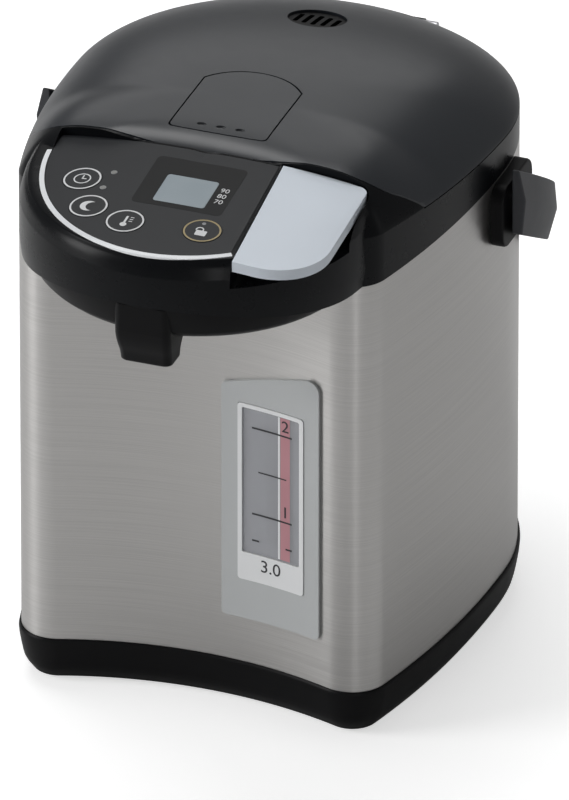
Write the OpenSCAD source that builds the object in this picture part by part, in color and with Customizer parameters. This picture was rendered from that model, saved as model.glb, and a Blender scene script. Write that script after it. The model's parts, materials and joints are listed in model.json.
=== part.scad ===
// Electric thermo pot with a pump: casings, lid, hinged handle, dispensing lever,
// water circuit and heater, as separate pieces. Millimetres, +Z up, front towards -Y.

/* [Body] */
// Width of the steel casing
body_w = 202; // [196:1:208]
// Distance from the front centre of the casing back to the pot's axis
front_depth = 116; // [112:1:120]
// Radius of the gently bowed side walls
side_r = 440; // [400:10:480]
// Radius of the two vertical front corners
corner_r = 17; // [15:1:19]
// Radius of the hollow front wall
front_scoop_r = 192; // [184:2:204]
// Height at which the steel casing starts, above the surface it stands on
base_h = 24; // [20:1:28]
// Height of the casing's upper edge
shell_top = 228.4; // [226:0.2:232]
// Thickness of the steel sheet
steel_t = 1; // [0.8:0.1:1.4]
// How far the base's upper edge stands proud of the steel
base_lip = 1.2; // [0.8:0.1:1.6]
// Height of the rubber feet below the base
foot_h = 2; // [1.5:0.1:3]
// Radius of a rubber foot
foot_r = 8; // [6:0.5:10]

/* [Lid and top] */
// Height of the dome's highest line
dome_top = 276; // [274:0.5:279]
// Roundness of the dome's edge: 1 is a plain bow, less is fuller
dome_round = 0.85; // [0.7:0.01:1]
// Height of the parting line between lid and housing, at the casing's front
seam_z = 251.8; // [250:0.2:253]
// Fall of the parting line towards the back, per millimetre
seam_fall = 0.0635; // [0.05:0.0005:0.07]
// Gap between the lid and what it closes on
lid_gap = 0.6; // [0.5:0.05:0.9]
// Depth of the lid's front seam behind the casing's front centre
lid_front = 9; // [8:0.5:10]
// Wall of the moulded covers
cover_t = 2.5; // [2.2:0.1:3]
// Distance of the hinge axis in front of the casing's back
hinge_inset = 11; // [10.5:0.1:12]
// Height of the hinge axis
hinge_z = 241; // [240.5:0.1:242]
// Radius of the hinge pin
hinge_pin_r = 2.5; // [2:0.1:3]

/* [Spout and panel] */
// Radius of the nose that carries the panel and the spout
nose_r = 79; // [77:0.5:81]
// Height of the nose's top at the casing's front line
panel_z = 272; // [270.5:0.5:273]
// Slope of the panel towards the front, per millimetre
panel_slope = 0.1; // [0.08:0.01:0.14]
// Height of the nose's lower rim at its foremost point
rim_z = 240; // [238:0.5:242]
// Thickness of the panel sheet
panel_t = 1.6; // [1.2:0.1:2]
// Width of the bright strip round the panel
strip_w = 2.2; // [1.8:0.1:2.6]
// Radius of the key caps
key_r = 8.6; // [7.6:0.1:8.8]
// Travel of the keys
key_travel = 0.6; // [0.5:0.1:0.8]
// Width of the spout
spout_w = 26; // [24:0.5:28]
// Height of the spout's lower face
spout_z = 207; // [204:0.5:210]

/* [Water circuit] */
// Inner radius of the pot
pot_r = 86; // [84:0.5:87.5]
// Wall of the pot
pot_t = 1; // [0.8:0.1:1.2]
// Height of the pot's floor
pot_floor = 60; // [58:0.5:62]
// Inner radius of the pot's neck
neck_r = 76; // [74:0.5:77]
// Outer radius of the level tube and the hoses
tube_r = 4.5; // [4:0.1:4.8]
// Wall of the tube and the hoses
tube_t = 1.2; // [1:0.1:1.5]
// Radius of the pump's housing
pump_r = 18; // [16:0.5:20]
// Radius of the motor
motor_r = 15; // [13:0.5:16.5]

/* [Handle] */
// Radius of the pins that carry the handle
pivot_r = 5; // [4:0.1:5.5]
// Height of the handle's pivots
pivot_z = 212; // [208:0.5:212.5]
// Thickness of the ears beside the casing
ear_t = 6; // [5.5:0.1:8]
// Thickness of the handle's arms
arm_t = 6.6; // [6.4:0.1:8]
// Height of the handle's arms
arm_h = 27.5; // [26:0.5:28]
// Thickness of the grip
grip_t = 8.6; // [8:0.1:10]
// How far the resting handle hangs below level, in degrees
handle_tilt = 31; // [28:0.5:32]

/* [Level gauge] */
// Distance of the gauge's middle from the front's centre line
gauge_x = 34.6; // [33:0.2:36]
// Width of the gauge's plate
gauge_w = 49; // [46:0.5:52]
// Height of the plate's lower edge
gauge_z0 = 47; // [44:0.5:50]
// Height of the plate's upper edge at its middle
gauge_z1 = 170.5; // [168:0.5:173]
// Thickness of the plate in front of the steel
gauge_t = 1.6; // [1.2:0.1:2]

/* [Hidden] */

// Clearances shared by neighbouring pieces
seat_gap = 0.3;
run_gap = 0.05;
slide_gap = 0.3;

body_r = body_w / 2;
axis_y = front_depth;
back_y = axis_y + body_r;
pivot_y = axis_y - 1;
ear_gap = 1.9;
arm_in = body_r + ear_t + ear_gap;
arm_out = arm_in + arm_t;
grip_h = 24;
// The resting grip hangs clear of the casing's back
grip_in = (back_y + 2 - pivot_y + grip_h / 2 * sin(handle_tilt)) / cos(handle_tilt);
grip_out = grip_in + grip_t;
// The handle's outside falls away from its ridge by these, at the top and at the bottom
ridge_top = 3.2;
ridge_low = 1.6;
ridge_h = 1.5;
rear_y = pivot_y + (grip_out - ridge_top) * cos(handle_tilt) + grip_h / 2 * sin(handle_tilt);
// The finished model is centred on its own outline, from the nose to the grip
mid_y = (rear_y - nose_r) / 2;
hinge_y = back_y - hinge_inset;
hinge_r = hinge_inset + 0.4;
inner_r = body_r - steel_t;

function arc(c, r, a0, a1, n) =
    [for (i = [0:n]) c + r * [cos(a0 + (a1 - a0) * i / n), sin(a0 + (a1 - a0) * i / n)]];
function mirrored(p) = [for (i = [len(p) - 2:-1:1]) [-p[i][0], p[i][1]]];
// Crossing, on the right-hand side, of two circles round a and b
function crossing(a, ra, b, rb) =
    let (d = norm(b - a), e = (b - a) / d, x = (ra * ra - rb * rb + d * d) / (2 * d))
    a + x * e + sqrt(ra * ra - x * x) * [-e[1], e[0]];
function heading(v) = atan2(v[1], v[0]);
// Half of the casing's outline, set in by off, from the front centre to the back
function half_outline(off) =
    let (side_c = [body_r - side_r, axis_y], scoop_c = [0, -front_scoop_r],
        c = crossing(side_c, side_r - corner_r, scoop_c, front_scoop_r + corner_r),
        to_scoop = heading(scoop_c - c), to_side = heading(c - side_c))
    concat(arc(scoop_c, front_scoop_r + off, 90, heading(c - scoop_c), 6),
        arc(c, corner_r - off, to_scoop, to_side, 6),
        arc(side_c, side_r - off, to_side, 0, 7),
        arc([0, axis_y], body_r - off, 0, 90, 14));
function tidy(p) = [for (i = [0:len(p) - 1]) if (i == 0 || norm(p[i] - p[i - 1]) > 0.001) p[i]];
function outline(off = 0) = let (h = tidy(half_outline(off))) concat(h, mirrored(h));

module placed() { translate([0, -mid_y, 0]) children(); }
module prism(off, z0, z1) { translate([0, 0, z0]) linear_extrude(z1 - z0) polygon(outline(off)); }
module shell_ring(off, t, z0, z1) {
    difference() {
        prism(off, z0, z1);
        prism(off + t, z0 - 1, z1 + 1);
    }
}
module tube(r, t, z0, z1) {
    translate([0, 0, z0]) difference() {
        cylinder(r = r, h = z1 - z0, $fn = 64);
        translate([0, 0, -1]) cylinder(r = r - t, h = z1 - z0 + 2, $fn = 64);
    }
}
// Solid through closed rings that all have the same number of points
module skin(rings) {
    n = len(rings[0]);
    m = len(rings);
    sides = [for (k = [0:m - 2], i = [0:n - 1], half = [0, 1])
        let (a = k * n + i, b = k * n + (i + 1) % n) half == 0 ? [a, b + n, b] : [a, a + n, b + n]];
    polyhedron([for (r = rings) each r],
        concat([[for (i = [0:n - 1]) i]], sides, [[for (i = [n - 1:-1:0]) (m - 1) * n + i]]));
}
module along_x(x0, x1, r) {
    translate([x0, 0, 0]) rotate([0, 90, 0]) cylinder(r = r, h = x1 - x0, $fn = 48);
}
module along_y(y0, y1, r) {
    translate([0, y1, 0]) rotate([90, 0, 0]) cylinder(r = r, h = y1 - y0, $fn = 48);
}
// Round-cornered plate in the XY plane, centred
module round_plate(w, d, h, r) {
    linear_extrude(h) round_flat(w, d, r);
}
module round_flat(w, d, r) {
    square([w - 2 * r, d], center = true);
    square([w, d - 2 * r], center = true);
    for (i = [-1, 1], j = [-1, 1]) translate([i * (w / 2 - r), j * (d / 2 - r)]) circle(r, $fn = 32);
}
// Points of a route whose corners are rounded, and a hose swept along them
bend_r = 7;
hose_sides = 16;
function unit(v) = v / norm(v);
function rounded(p) = concat([p[0]], [for (i = [1:len(p) - 2]) let (
    a = p[i] + unit(p[i - 1] - p[i]) * min(bend_r, 0.45 * norm(p[i - 1] - p[i])),
    b = p[i] + unit(p[i + 1] - p[i]) * min(bend_r, 0.45 * norm(p[i + 1] - p[i])))
    for (k = [0:0.25:1]) (1 - k) * (1 - k) * a + 2 * k * (1 - k) * p[i] + k * k * b], [p[len(p) - 1]]);
function heading_at(p, i) = unit(p[min(i + 1, len(p) - 1)] - p[max(i - 1, 0)]);
module sweep(p, r) {
    skin([for (i = [0:len(p) - 1]) let (t = heading_at(p, i), u = unit(cross([1, 0, 0], t)),
        v = cross(t, u))
        [for (j = [0:hose_sides - 1]) let (a = 360 * j / hose_sides) p[i] + r * (cos(a) * u + sin(a) * v)]]);
}
module hose(p, r, t) {
    q = rounded(p);
    n = len(q) - 1;
    difference() {
        sweep(q, r);
        sweep(concat([q[0] + unit(q[0] - q[1])], [for (i = [1:n - 1]) q[i]],
            [q[n] + unit(q[n] - q[n - 1])]), r - t);
    }
}
module coil_spring(r, wire, h, turns) {
    steps = 10 * turns;
    ring = [for (k = [0:steps]) [for (j = [0:5])
        let (a = 360 * turns * k / steps, b = 60 * j)
        [(r + wire * cos(b)) * cos(a), (r + wire * cos(b)) * sin(a),
            wire + (h - 2 * wire) * k / steps + wire * sin(b)]]];
    skin([for (k = [0:steps]) [for (j = [5:-1:0]) ring[k][j]]]);
}

// ---- Forms of the top -------------------------------------------------------
peak_y = 55;
function seam(y) = seam_z - seam_fall * y;
// How late the dome falls off towards edge point p: flat to the front, early to the back
function fall_power(p) = 3.8 - 1.2 * max(0, (p[1] - peak_y) / (back_y - peak_y))
    + 4 * max(0, (peak_y - p[1]) / peak_y) * max(0, 1 - abs(p[0]) / 80);
// Height of the dome at share s of the way from its peak to edge point p
function dome_z(s, p) = seam(p[1]) + (dome_top - seam(p[1])) * pow(1 - pow(s, fall_power(p)), dome_round);
function dome_ring(s, off) = [for (p = outline(off)) let (q = [0, peak_y] + s * (p - [0, peak_y]))
    [q[0], q[1], dome_z(s, p) - off]];
module top_form(off = 0) {
    skin(concat([[for (p = outline(off)) [p[0], p[1], shell_top - off]]],
        [for (s = [1, 0.996, 0.982, 0.957, 0.92, 0.87, 0.8, 0.7, 0.58, 0.44, 0.28, 0.12]) dome_ring(s,
            off)]));
}
module below_seam(lift = 0) {
    translate([0, 0, seam_z + lift]) rotate([-atan(seam_fall), 0, 0])
        translate([-200, -200, -100]) cube([400, 600, 100]);
}

// The nose's top carried on past its edge, as a block for cutting
module nose_slab() {
    skin([[for (p = nose_plan(nose_r + 16)) [p[0], p[1], 200]], nose_ring(nose_r + 16, 0),
        nose_ring(nose_r - 5.4, 0.2),
        nose_ring(0.75 * nose_r, 0), nose_ring(0.5 * nose_r, 0), nose_ring(0.25 * nose_r, 0)]);
}
// Height of the nose's top, which carries the panel
function nose_top(x, y) = panel_z + panel_slope * y - 5 * pow(abs(x) / 74, 2.5);
function rim(y) = shell_top + (rim_z - shell_top) * pow(max(0, (-y - 15) / (nose_r - 15)), 1.8);
// Half of the nose's plan: its flank runs out to the casing's corner at share 1, and into the dome at share 0
function nose_half(r, share) = concat(arc([0, 0], r, -90, -8, 14), [[r + 0.3 + 3.9 * share, 9],
    [r - 1.5 + 8.9 * share, 20], [r - 5 + 12.5 * share, 31], [r - 9, 40]]);
function nose_plan(r, share = 1) = let (h = nose_half(r, share)) concat(h, [[0, 40]],
    mirrored(concat(h, [[0, 40]])));
function nose_ring(r, drop) = [for (p = nose_plan(r, 0)) [p[0], p[1],
    nose_top(p[0], min(p[1], 12)) - drop]];
module nose_form(off = 0) {
    skin([
        [for (p = nose_plan(nose_r - off)) [p[0], p[1], rim(p[1])]],
        [for (p = nose_plan(nose_r + 0.9 - off)) [p[0], p[1], rim(p[1]) + 9]],
        nose_ring(nose_r + 0.6 - off, 9 + off),
        nose_ring(nose_r - 0.8 - off, 4 + off),
        nose_ring(nose_r - 2.6 - off, 1.4 + off),
        nose_ring(nose_r - 5.4 - off, 0.2 + off),
        nose_ring(0.75 * nose_r - off, off),
        nose_ring(0.5 * nose_r, off),
        nose_ring(0.25 * nose_r, off)]);
}

// Plan of the lid: the casing's outline behind a front seam with rounded corners
lid_corner_r = 21;
lid_corner_turn = 57;
function lid_half(off) =
    let (a = arc([66, lid_front + lid_corner_r], lid_corner_r - off, -90, lid_corner_turn - 90, 8),
        e = a[8])
    concat([[0, lid_front + off]], a, [e + 70 * [cos(lid_corner_turn), sin(lid_corner_turn)], [250,
        320], [0, 320]]);
module lid_block(off, z0 = 200, z1 = 300) {
    translate([0, 0, z0]) linear_extrude(z1 - z0) polygon(let (h = lid_half(off)) concat(h, mirrored(h)));
}

// ---- Casing -----------------------------------------------------------------
deck_top = shell_top + 0.6;
deck_t = 4;
wall_t = 2.2;
mouth_r = neck_r + pot_t + 1;
inlet_z = 52;
module outer_shell() color("silver") placed() {
    difference() {
        shell_ring(0, steel_t, base_h, shell_top);
        gauge_cut(gauge_w - 8, gauge_z0 + 5, gauge_z1 - 5);
        translate([0, pivot_y, pivot_z]) along_x(-body_w, body_w, pivot_r + 0.2);
        translate([0, back_y, inlet_z]) cube([32, 20, 26], center = true);
    }
}
module gauge_cut(w, z0, z1) { translate([gauge_x - w / 2, -30, z0]) cube([w, 50, z1 - z0]); }

foot_z = foot_h;
plate_t = 2;
lip_z = foot_z + plate_t;
lip_t = 2.5;
lip_edge = 0.5;
base_flange = 15.5;
module base_ring() color([0.08, 0.08, 0.09]) placed() {
    difference() {
        skin([for (r = [[foot_z, 7], [foot_z + 2.4, 3.6], [foot_z + 6, 1.2], [base_h - 1.4, -base_lip],
            [base_h, lip_edge - base_lip]])
            [for (p = outline(r[1])) [p[0], p[1], r[0]]]]);
        prism(8, foot_z - 1, lip_z);
        prism(base_flange, foot_z, lip_z + lip_t);
        prism(4.6, lip_z + lip_t, base_h + 1);
        for (p = screw_spots) translate([p[0], p[1], 0]) cylinder(r = screw_r + run_gap, h = base_h,
            $fn = 32);
    }
}
shield_floor = 46;
screw_r = 1.6;
post_spots = [for (a = [45, 135, 225, 315]) [0, axis_y] + 80 * [cos(a), sin(a)]];
screw_spots = [for (x = [-1, 1]) for (q = [[76, 14], [88, axis_y]]) [x * q[0], q[1]]];
module bottom_cover() color([0.1, 0.1, 0.11]) placed() {
    difference() {
        prism(8 + seat_gap, foot_z, lip_z);
        for (p = screw_spots) translate([p[0], p[1], 0]) cylinder(r = screw_r + seat_gap, h = base_h,
            $fn = 32);
        for (i = [-3:3]) translate([-40, 60 + 7 * i, foot_z - 1]) cube([24, 3, plate_t + 2]);
    }
    for (p = post_spots) translate([p[0], p[1], lip_z]) cylinder(r = 5, h = shield_floor - lip_z, $fn = 32);
    for (p = board_spots) translate([p[0], p[1], lip_z]) cylinder(r = 3, h = board_z - lip_z, $fn = 32);
}
board_z = 12;
board_c = [0, 168];
board_spots = [for (x = [-1, 1], y = [-1, 1]) board_c + [32 * x, 16 * y]];
foot_spots = [for (x = [-1, 1]) for (q = [[66, 24], [62, axis_y + 52]]) [x * q[0], q[1]]];
module foot_pads() color([0.15, 0.15, 0.15]) placed() {
    for (p = foot_spots) translate([p[0], p[1], 0]) cylinder(r = foot_r, h = foot_z, $fn = 48);
}
module bottom_screws() color("gray") placed() {
    for (p = screw_spots) translate([p[0], p[1], 0]) {
        translate([0, 0, foot_z - 1.2]) cylinder(r = 3, h = 1.2, $fn = 32);
        translate([0, 0, foot_z - 0.1]) cylinder(r = screw_r, h = 6, $fn = 32);
    }
}

// The collar over the casing and the nose in front, moulded in one
lug_x = [22, 28];
pin_half = 36;
wall_y = lid_front - lid_gap;
module hinge_lugs() {
    for (m = [0, 1]) mirror([m, 0, 0])
        translate([0, hinge_y, hinge_z]) along_x(lug_x[0], lug_x[1], hinge_r);
}
module lug_feet() {
    for (m = [0, 1]) mirror([m, 0, 0])
        translate([lug_x[0], hinge_y - 6, deck_top - 1]) cube([lug_x[1] - lug_x[0], 14,
            hinge_z - deck_top]);
}
module front_part(y) { translate([-200, y - 400, 100]) cube([400, 400, 300]); }
module lever_plan(grow = 0) {
    x0 = lever_x0 - grow;
    x1 = lever_x1 + grow;
    y1 = lever_back + grow;
    r = lever_corner_r + grow;
    c = [lever_x1 - lever_corner_r, lever_front + lever_corner_r];
    polygon(concat([[x0, y1], [x0 + 4, lever_front - grow]], arc(c, r, -90, 0, 10),
        arc([lever_x1 - 4, lever_back - 4], 4 + grow, 0, 90, 4)));
}
lever_x0 = 36;
lever_x1 = 76;
lever_front = -69;
lever_back = lid_front - lid_gap - 1.2;
lever_corner_r = 27;
lever_t = 5;
module top_housing() color([0.09, 0.09, 0.1]) placed() {
    difference() {
        union() {
            intersection() {
                top_form();
                below_seam(-lid_gap);
            }
            prism(steel_t + seat_gap, deck_top - deck_t, deck_top);
            intersection() {
                nose_form();
                front_part(38);
            }
        }
        // room for the lid
        intersection() {
            prism(wall_t, deck_top, 300);
            lid_block(-lid_gap);
        }
        difference() {
            lid_block(-lid_gap, 228, 300);
            below_seam(-lid_gap);
        }
        // mouth of the pot
        translate([0, axis_y, 200]) cylinder(r = mouth_r, h = 100, $fn = 96);
        // hollow nose
        difference() {
            intersection() {
                translate([0, 0, -1.5]) nose_form(cover_t);
                front_part(wall_y - 3);
            }
            above_nose(lever_well + cover_t) lever_plan(1 + cover_t);
            for (p = stand_spots) translate([p[0], p[1],
                panel_board_z + board_t + seat_gap]) cylinder(r = 2.5, h = 30, $fn = 24);
        }
        intersection() {
            translate([0, 0, 220]) linear_extrude(12) polygon(nose_plan(nose_r - 3));
            front_part(wall_y - 3);
        }
        // recess for the panel and the strip, and what passes through it
        above_nose(panel_t) panel_plan(0.1);
        above_nose(panel_t) strip_plan(0.1);
        key_shafts(key_r + slide_gap);
        lcd_hole(0.5);
        lamp_shafts(lamp_r + 0.2);
        // room for the lever, its pin and the rising hose
        above_nose(lever_well) lever_plan(1);
        translate([0, lever_pin_y, lever_pin_z]) along_x(lever_x0 - lever_pin_grip,
            lever_x1 + lever_pin_grip, lever_pin_r);
        translate([gauge_x, tube_y, 200]) cylinder(r = tube_r + 0.5, h = 40, $fn = 48);
        // hinge barrel
        translate([0, hinge_y, hinge_z]) along_x(-half_barrel - 1, half_barrel + 1, hinge_r + 0.4);
        // latch slot
        translate([-9, wall_y - 4, latch_z - 0.4]) cube([18, 8, latch_t + 0.8]);
    }
    difference() {
        intersection() {
            union() {
                hinge_lugs();
                lug_feet();
            }
            top_form();
        }
        translate([0, hinge_y, hinge_z]) along_x(-60, 60, hinge_pin_r);
    }
}
half_barrel = 46.5;
latch_z = 252;
latch_t = 4;

// ---- Panel ------------------------------------------------------------------
strip_rx = 69;
strip_ry = 75;
strip_end = 303;
panel_inset = strip_w / 2 + 0.3;
panel_back = wall_y - 1.2;
lamp_r = 1.2;
board_t = 1.6;
panel_board_z = 252;
stand_spots = [[-48, -8], [24, -6], [-24, -60], [6, -64]];
keys = [[-45.7, -26.1], [-35.3, -46.3], [-15.5, -53.6], [19.4, -50.7]];
lamps = [[-33.6, -18.6], [-34.2, -31]];
lcd_c = [2, -24];
lcd_size = [24, 21];
lcd_r = 1.5;
function ellipse(rx, ry, a0, a1, n) = [for (i = [0:n]) let (a = a0 + (a1 - a0) * i / n) [rx * cos(a),
    ry * sin(a)]];
module panel_plan(grow = 0) {
    rx = strip_rx - panel_inset + grow;
    ry = strip_ry - panel_inset + grow;
    polygon(concat(ellipse(rx, ry, 180, strip_end, 30),
        [[lever_x0 - 2 + grow, panel_back + grow], [-rx, panel_back + grow]]));
}
module strip_plan(grow = 0) {
    h = strip_w / 2 + grow;
    polygon(concat(ellipse(strip_rx + h, strip_ry + h, 184, strip_end, 36),
        ellipse(strip_rx - h, strip_ry - h, strip_end, 184, 36)));
}
// Everything over the nose's top, let down by depth, within a plan
module above_nose(depth) {
    difference() {
        translate([0, 0, 235]) linear_extrude(60) children();
        translate([0, 0, -depth]) nose_slab();
    }
}
module on_nose(proud, depth) {
    difference() {
        intersection() {
            translate([0, 0, 235]) linear_extrude(60) children();
            translate([0, 0, proud]) nose_form();
        }
        translate([0, 0, -depth]) nose_slab();
    }
}
module key_shafts(r) { for (p = keys) translate([p[0], p[1], 240]) cylinder(r = r, h = 50, $fn = 64); }
module lamp_shafts(r) { for (p = lamps) translate([p[0], p[1], 240]) cylinder(r = r, h = 50, $fn = 32); }
module lcd_hole(gap) { translate([lcd_c[0], lcd_c[1], 240]) round_plate(lcd_size[0] + 2 * gap,
    lcd_size[1] + 2 * gap, 50, lcd_r); }
module control_panel() color([0.16, 0.165, 0.18]) placed() {
    difference() {
        on_nose(0, panel_t) panel_plan();
        key_shafts(key_r + slide_gap);
        lamp_shafts(lamp_r + 0.2);
        lcd_hole(0.1);
    }
}
module accent_strip() color([0.92, 0.93, 0.94]) placed() on_nose(0.3, panel_t) strip_plan();
module lcd_window() color([0.6, 0.66, 0.66]) placed() {
    on_nose(0, panel_t) translate(lcd_c) round_flat(lcd_size[0], lcd_size[1], lcd_r);
}
module lcd_module() color([0.3, 0.32, 0.33]) placed() {
    board_top = panel_board_z + board_t;
    difference() {
        translate([lcd_c[0], lcd_c[1], board_top]) round_plate(lcd_size[0] - 0.4, lcd_size[1] - 0.4, 30,
            lcd_r);
        above_nose(panel_t) translate(lcd_c) square(60, center = true);
    }
}
switch_h = 3;
board_x0 = -56;
module control_board() color([0.05, 0.3, 0.15]) placed() {
    translate([0, 0, panel_board_z]) linear_extrude(board_t) intersection() {
        translate([board_x0, -68]) square([lever_x0 - 5 - board_x0, 68 + wall_y - 5]);
        polygon(ellipse(64, 70, 0, 354, 59));
    }
    for (p = keys) translate([p[0], p[1], panel_board_z + board_t]) cylinder(r = 2.5, h = switch_h,
        $fn = 32);
}
// Cap k of the panel's keys, flush with the panel and guided by its hole
module key_cap(k) {
    intersection() {
        translate([keys[k][0], keys[k][1], panel_board_z + board_t + switch_h + key_travel + 0.1])
            cylinder(r = key_r, h = 40, $fn = 64);
        translate([0, 0, 0.35]) nose_form();
    }
}
module key_timer() color([0.14, 0.145, 0.16]) placed() key_cap(0);
module key_saving() color([0.14, 0.145, 0.16]) placed() key_cap(1);
module key_temp() color([0.14, 0.145, 0.16]) placed() key_cap(2);
module key_unlock() color([0.14, 0.145, 0.16]) placed() key_cap(3);
module indicator_lights() color([0.85, 0.85, 0.8]) placed() {
    intersection() {
        for (p = lamps) translate([p[0], p[1], panel_board_z + board_t]) cylinder(r = lamp_r, h = 40,
            $fn = 32);
        translate([0, 0, 0.2]) nose_form();
    }
}

// ---- Dispensing lever -------------------------------------------------------
lever_well = 12.8;
lever_proud = 0.8;
lever_pin_r = 1.5;
lever_pin_grip = 3.5;
lever_barrel_r = 3.4;
lever_pin_y = 1;
lever_pin_z = 262;
module dispense_lever() color([0.78, 0.8, 0.83]) placed() {
    difference() {
        union() {
            difference() {
                intersection() {
                    translate([0, 0, 240]) linear_extrude(60) lever_plan();
                    translate([0, 0, lever_proud]) nose_slab();
                }
                translate([0, 0, lever_proud - lever_t]) nose_slab();
            }
            translate([0, lever_pin_y, lever_pin_z]) along_x(lever_x0 + 4, lever_x1 - 6, lever_barrel_r);
        }
        translate([0, lever_pin_y, lever_pin_z]) along_x(0, 120, lever_pin_r + run_gap);
    }
}
module dispense_pin() color("silver") placed()
    translate([0, lever_pin_y, lever_pin_z]) along_x(lever_x0 - lever_pin_grip,
        lever_x1 + lever_pin_grip, lever_pin_r);
lever_spring_c = [57, -42];
lever_floor = nose_top(lever_spring_c[0], lever_spring_c[1]) - lever_well;
module dispense_spring() color("silver") placed()
    translate([lever_spring_c[0], lever_spring_c[1], lever_floor + 0.5])
        coil_spring(4, 0.5, lever_well + lever_proud - lever_t - 1.2, 4);
module dispense_switch() color([0.2, 0.2, 0.22]) placed() {
    intersection() {
        translate([50, -28, 240]) cube([14, 7, 30]);
        above_nose(lever_well) lever_plan(0);
        translate([0, 0, -lever_well + 4.6]) nose_form();
    }
}

// ---- Chin, spout and outlet -------------------------------------------------
chin_z = 219.5;
chin_t = 2.2;
spout_back = -46;
spout_top = rim_z - 2;
spout_front = -76;
nozzle_y = -63;
tube_y = tube_r + steel_t + 0.5 - (front_scoop_r - sqrt(front_scoop_r * front_scoop_r - gauge_x * gauge_x));
function chin_ring(r, z, up) = [for (p = nose_plan(r)) [p[0], p[1], up ? rim(p[1]) + z : z]];
module chin_form(off) {
    skin([chin_ring(64 - off, chin_z + off, false), chin_ring(69.5 - off, chin_z + 2.2 + off, false),
        chin_ring(73.5 - off, chin_z + 6 + off * 0.5, false), chin_ring(nose_r - 2.6 - off, 0, true),
        chin_ring(nose_r - 3.2 - off, 3, true)]);
}
module chin_housing() color([0.07, 0.07, 0.08]) placed() {
    difference() {
        chin_form(0);
        chin_form(chin_t);
        translate([0, 0, 4]) chin_form(chin_t);
        prism(-0.2, 0, shell_top + 0.2);
        prism(-0.2, shell_top, 300);
        translate([0, (spout_back + spout_front) / 2, 200]) linear_extrude(spout_top + seat_gap - 200)
            square([spout_w + 0.6, spout_back - spout_front + 0.6], center = true);
    }
}
function box_ring(w, y0, y1, z, r = 3) = [for (c = [[1, 1, 0], [-1, 1, 90], [-1, -1, 180],
    [1, -1, 270]], a = [0:30:90])
    [c[0] * (w / 2 - r) + r * cos(c[2] + a), (c[1] > 0 ? y1 - r : y0 + r) + r * sin(c[2] + a), z]];
module spout_form(off) {
    skin([box_ring(spout_w - 2 - 2 * off, spout_front + 5 + off, nozzle_y + 6.5 - off, spout_z, 3),
        box_ring(spout_w - 1.6 - 2 * off, spout_front + 3.6 + off, nozzle_y + 7.5 - off, spout_z + 5, 3),
        box_ring(spout_w - 0.6 - 2 * off, spout_front + 1.6 + off, nozzle_y + 10 - off, spout_z + 10, 3),
        box_ring(spout_w - 2 * off, spout_front + 0.5 + off, spout_back - 2 - off, chin_z + 1, 3),
        box_ring(spout_w - 2 * off, spout_front + off, spout_back - off, chin_z + 4, 3),
        box_ring(spout_w - 2 * off, spout_front + off, spout_back - off, spout_top, 3)]);
}
module spout() color([0.06, 0.06, 0.07]) placed() {
    difference() {
        spout_form(0);
        translate([0, 0, 2.5]) spout_form(2);
        translate([0, nozzle_y, 200]) cylinder(r = tube_r + seat_gap, h = 40, $fn = 48);
    }
}
nozzle_top = 234;
module nozzle_tube() color([0.8, 0.8, 0.82]) placed()
    translate([0, nozzle_y, 0]) tube(tube_r, tube_t, spout_z + 1, nozzle_top);
level_top = 205;
hose_z = 243.5;
level_bottom = 44;
module outlet_hose() color([0.85, 0.85, 0.82, 0.6]) placed()
    hose([[gauge_x, tube_y, level_top], [gauge_x, tube_y, hose_z - 5.5], [gauge_x - 8, tube_y - 14, hose_z],
        [0, nozzle_y + 8, hose_z + 0.5], [0, nozzle_y, hose_z - 1.5], [0, nozzle_y, nozzle_top]],
            tube_r, tube_t);

// ---- Level gauge ------------------------------------------------------------
gauge_rise = 0.24;
frame_w = 33;
frame_z0 = 67;
frame_z1 = 156;
window_w = 28.6;
window_z0 = 81;
window_z1 = 154;
// Upright plate of an outline in X and Z, wrapped round the hollow front between two offsets
module on_front(off0, off1, z0, z1) {
    intersection() {
        shell_ring(off0, off1 - off0, z0 - 1, z1 + 1);
        translate([0, 10, 0]) rotate([90, 0, 0]) linear_extrude(60) children();
    }
}
function plate_outline() =
    let (x0 = gauge_x - gauge_w / 2, x1 = gauge_x + gauge_w / 2, h = gauge_rise * gauge_w / 2, r = 2.5,
        q = 5,
        tilt = atan(gauge_rise))
    concat(arc([x0 + r, gauge_z0 + r], r, 180, 270, 6), arc([x1 - r, gauge_z0 + r], r, 270, 360, 6),
        arc([x1 - q, gauge_z1 + h - q], q, 0, 90 + tilt, 8), arc([x0 + r, gauge_z1 - h - r], r,
            90 + tilt, 180, 6));
module centred_rect(w, z0, z1, r) { translate([gauge_x, (z0 + z1) / 2]) round_flat(w, z1 - z0, r); }
module gauge_plate() color([0.6, 0.62, 0.63]) placed() {
    on_front(-gauge_t, 0, gauge_z0, 190) difference() {
        polygon(plate_outline());
        centred_rect(frame_w + 0.2, frame_z0 - 0.1, frame_z1 + 0.1, 1.2);
    }
}
module gauge_frame() color([0.9, 0.91, 0.92]) placed() {
    on_front(-gauge_t - 0.6, 0, frame_z0, frame_z1) difference() {
        centred_rect(frame_w, frame_z0, frame_z1, 1.2);
        centred_rect(window_w + 0.2, window_z0 - 0.1, window_z1 + 0.1, 0.8);
    }
}
module gauge_window() color([0.8, 0.85, 0.88, 0.35]) placed()
    on_front(-gauge_t + 0.2, 0, window_z0, window_z1) centred_rect(window_w, window_z0, window_z1, 0.8);
module gauge_scale() color([0.85, 0.5, 0.52]) placed()
    on_front(0.1, steel_t - 0.1, gauge_z0, 190) difference() {
        centred_rect(gauge_w - 8.4, gauge_z0 + 5.2, gauge_z1 - 5.2, 1);
        translate([gauge_x - 3, window_z0 + 6]) square([6, window_z1 - window_z0 - 12]);
    }
module level_tube() color([0.85, 0.9, 0.92, 0.4]) placed()
    translate([gauge_x, tube_y, 0]) tube(tube_r, tube_t, level_bottom, level_top);

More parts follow.
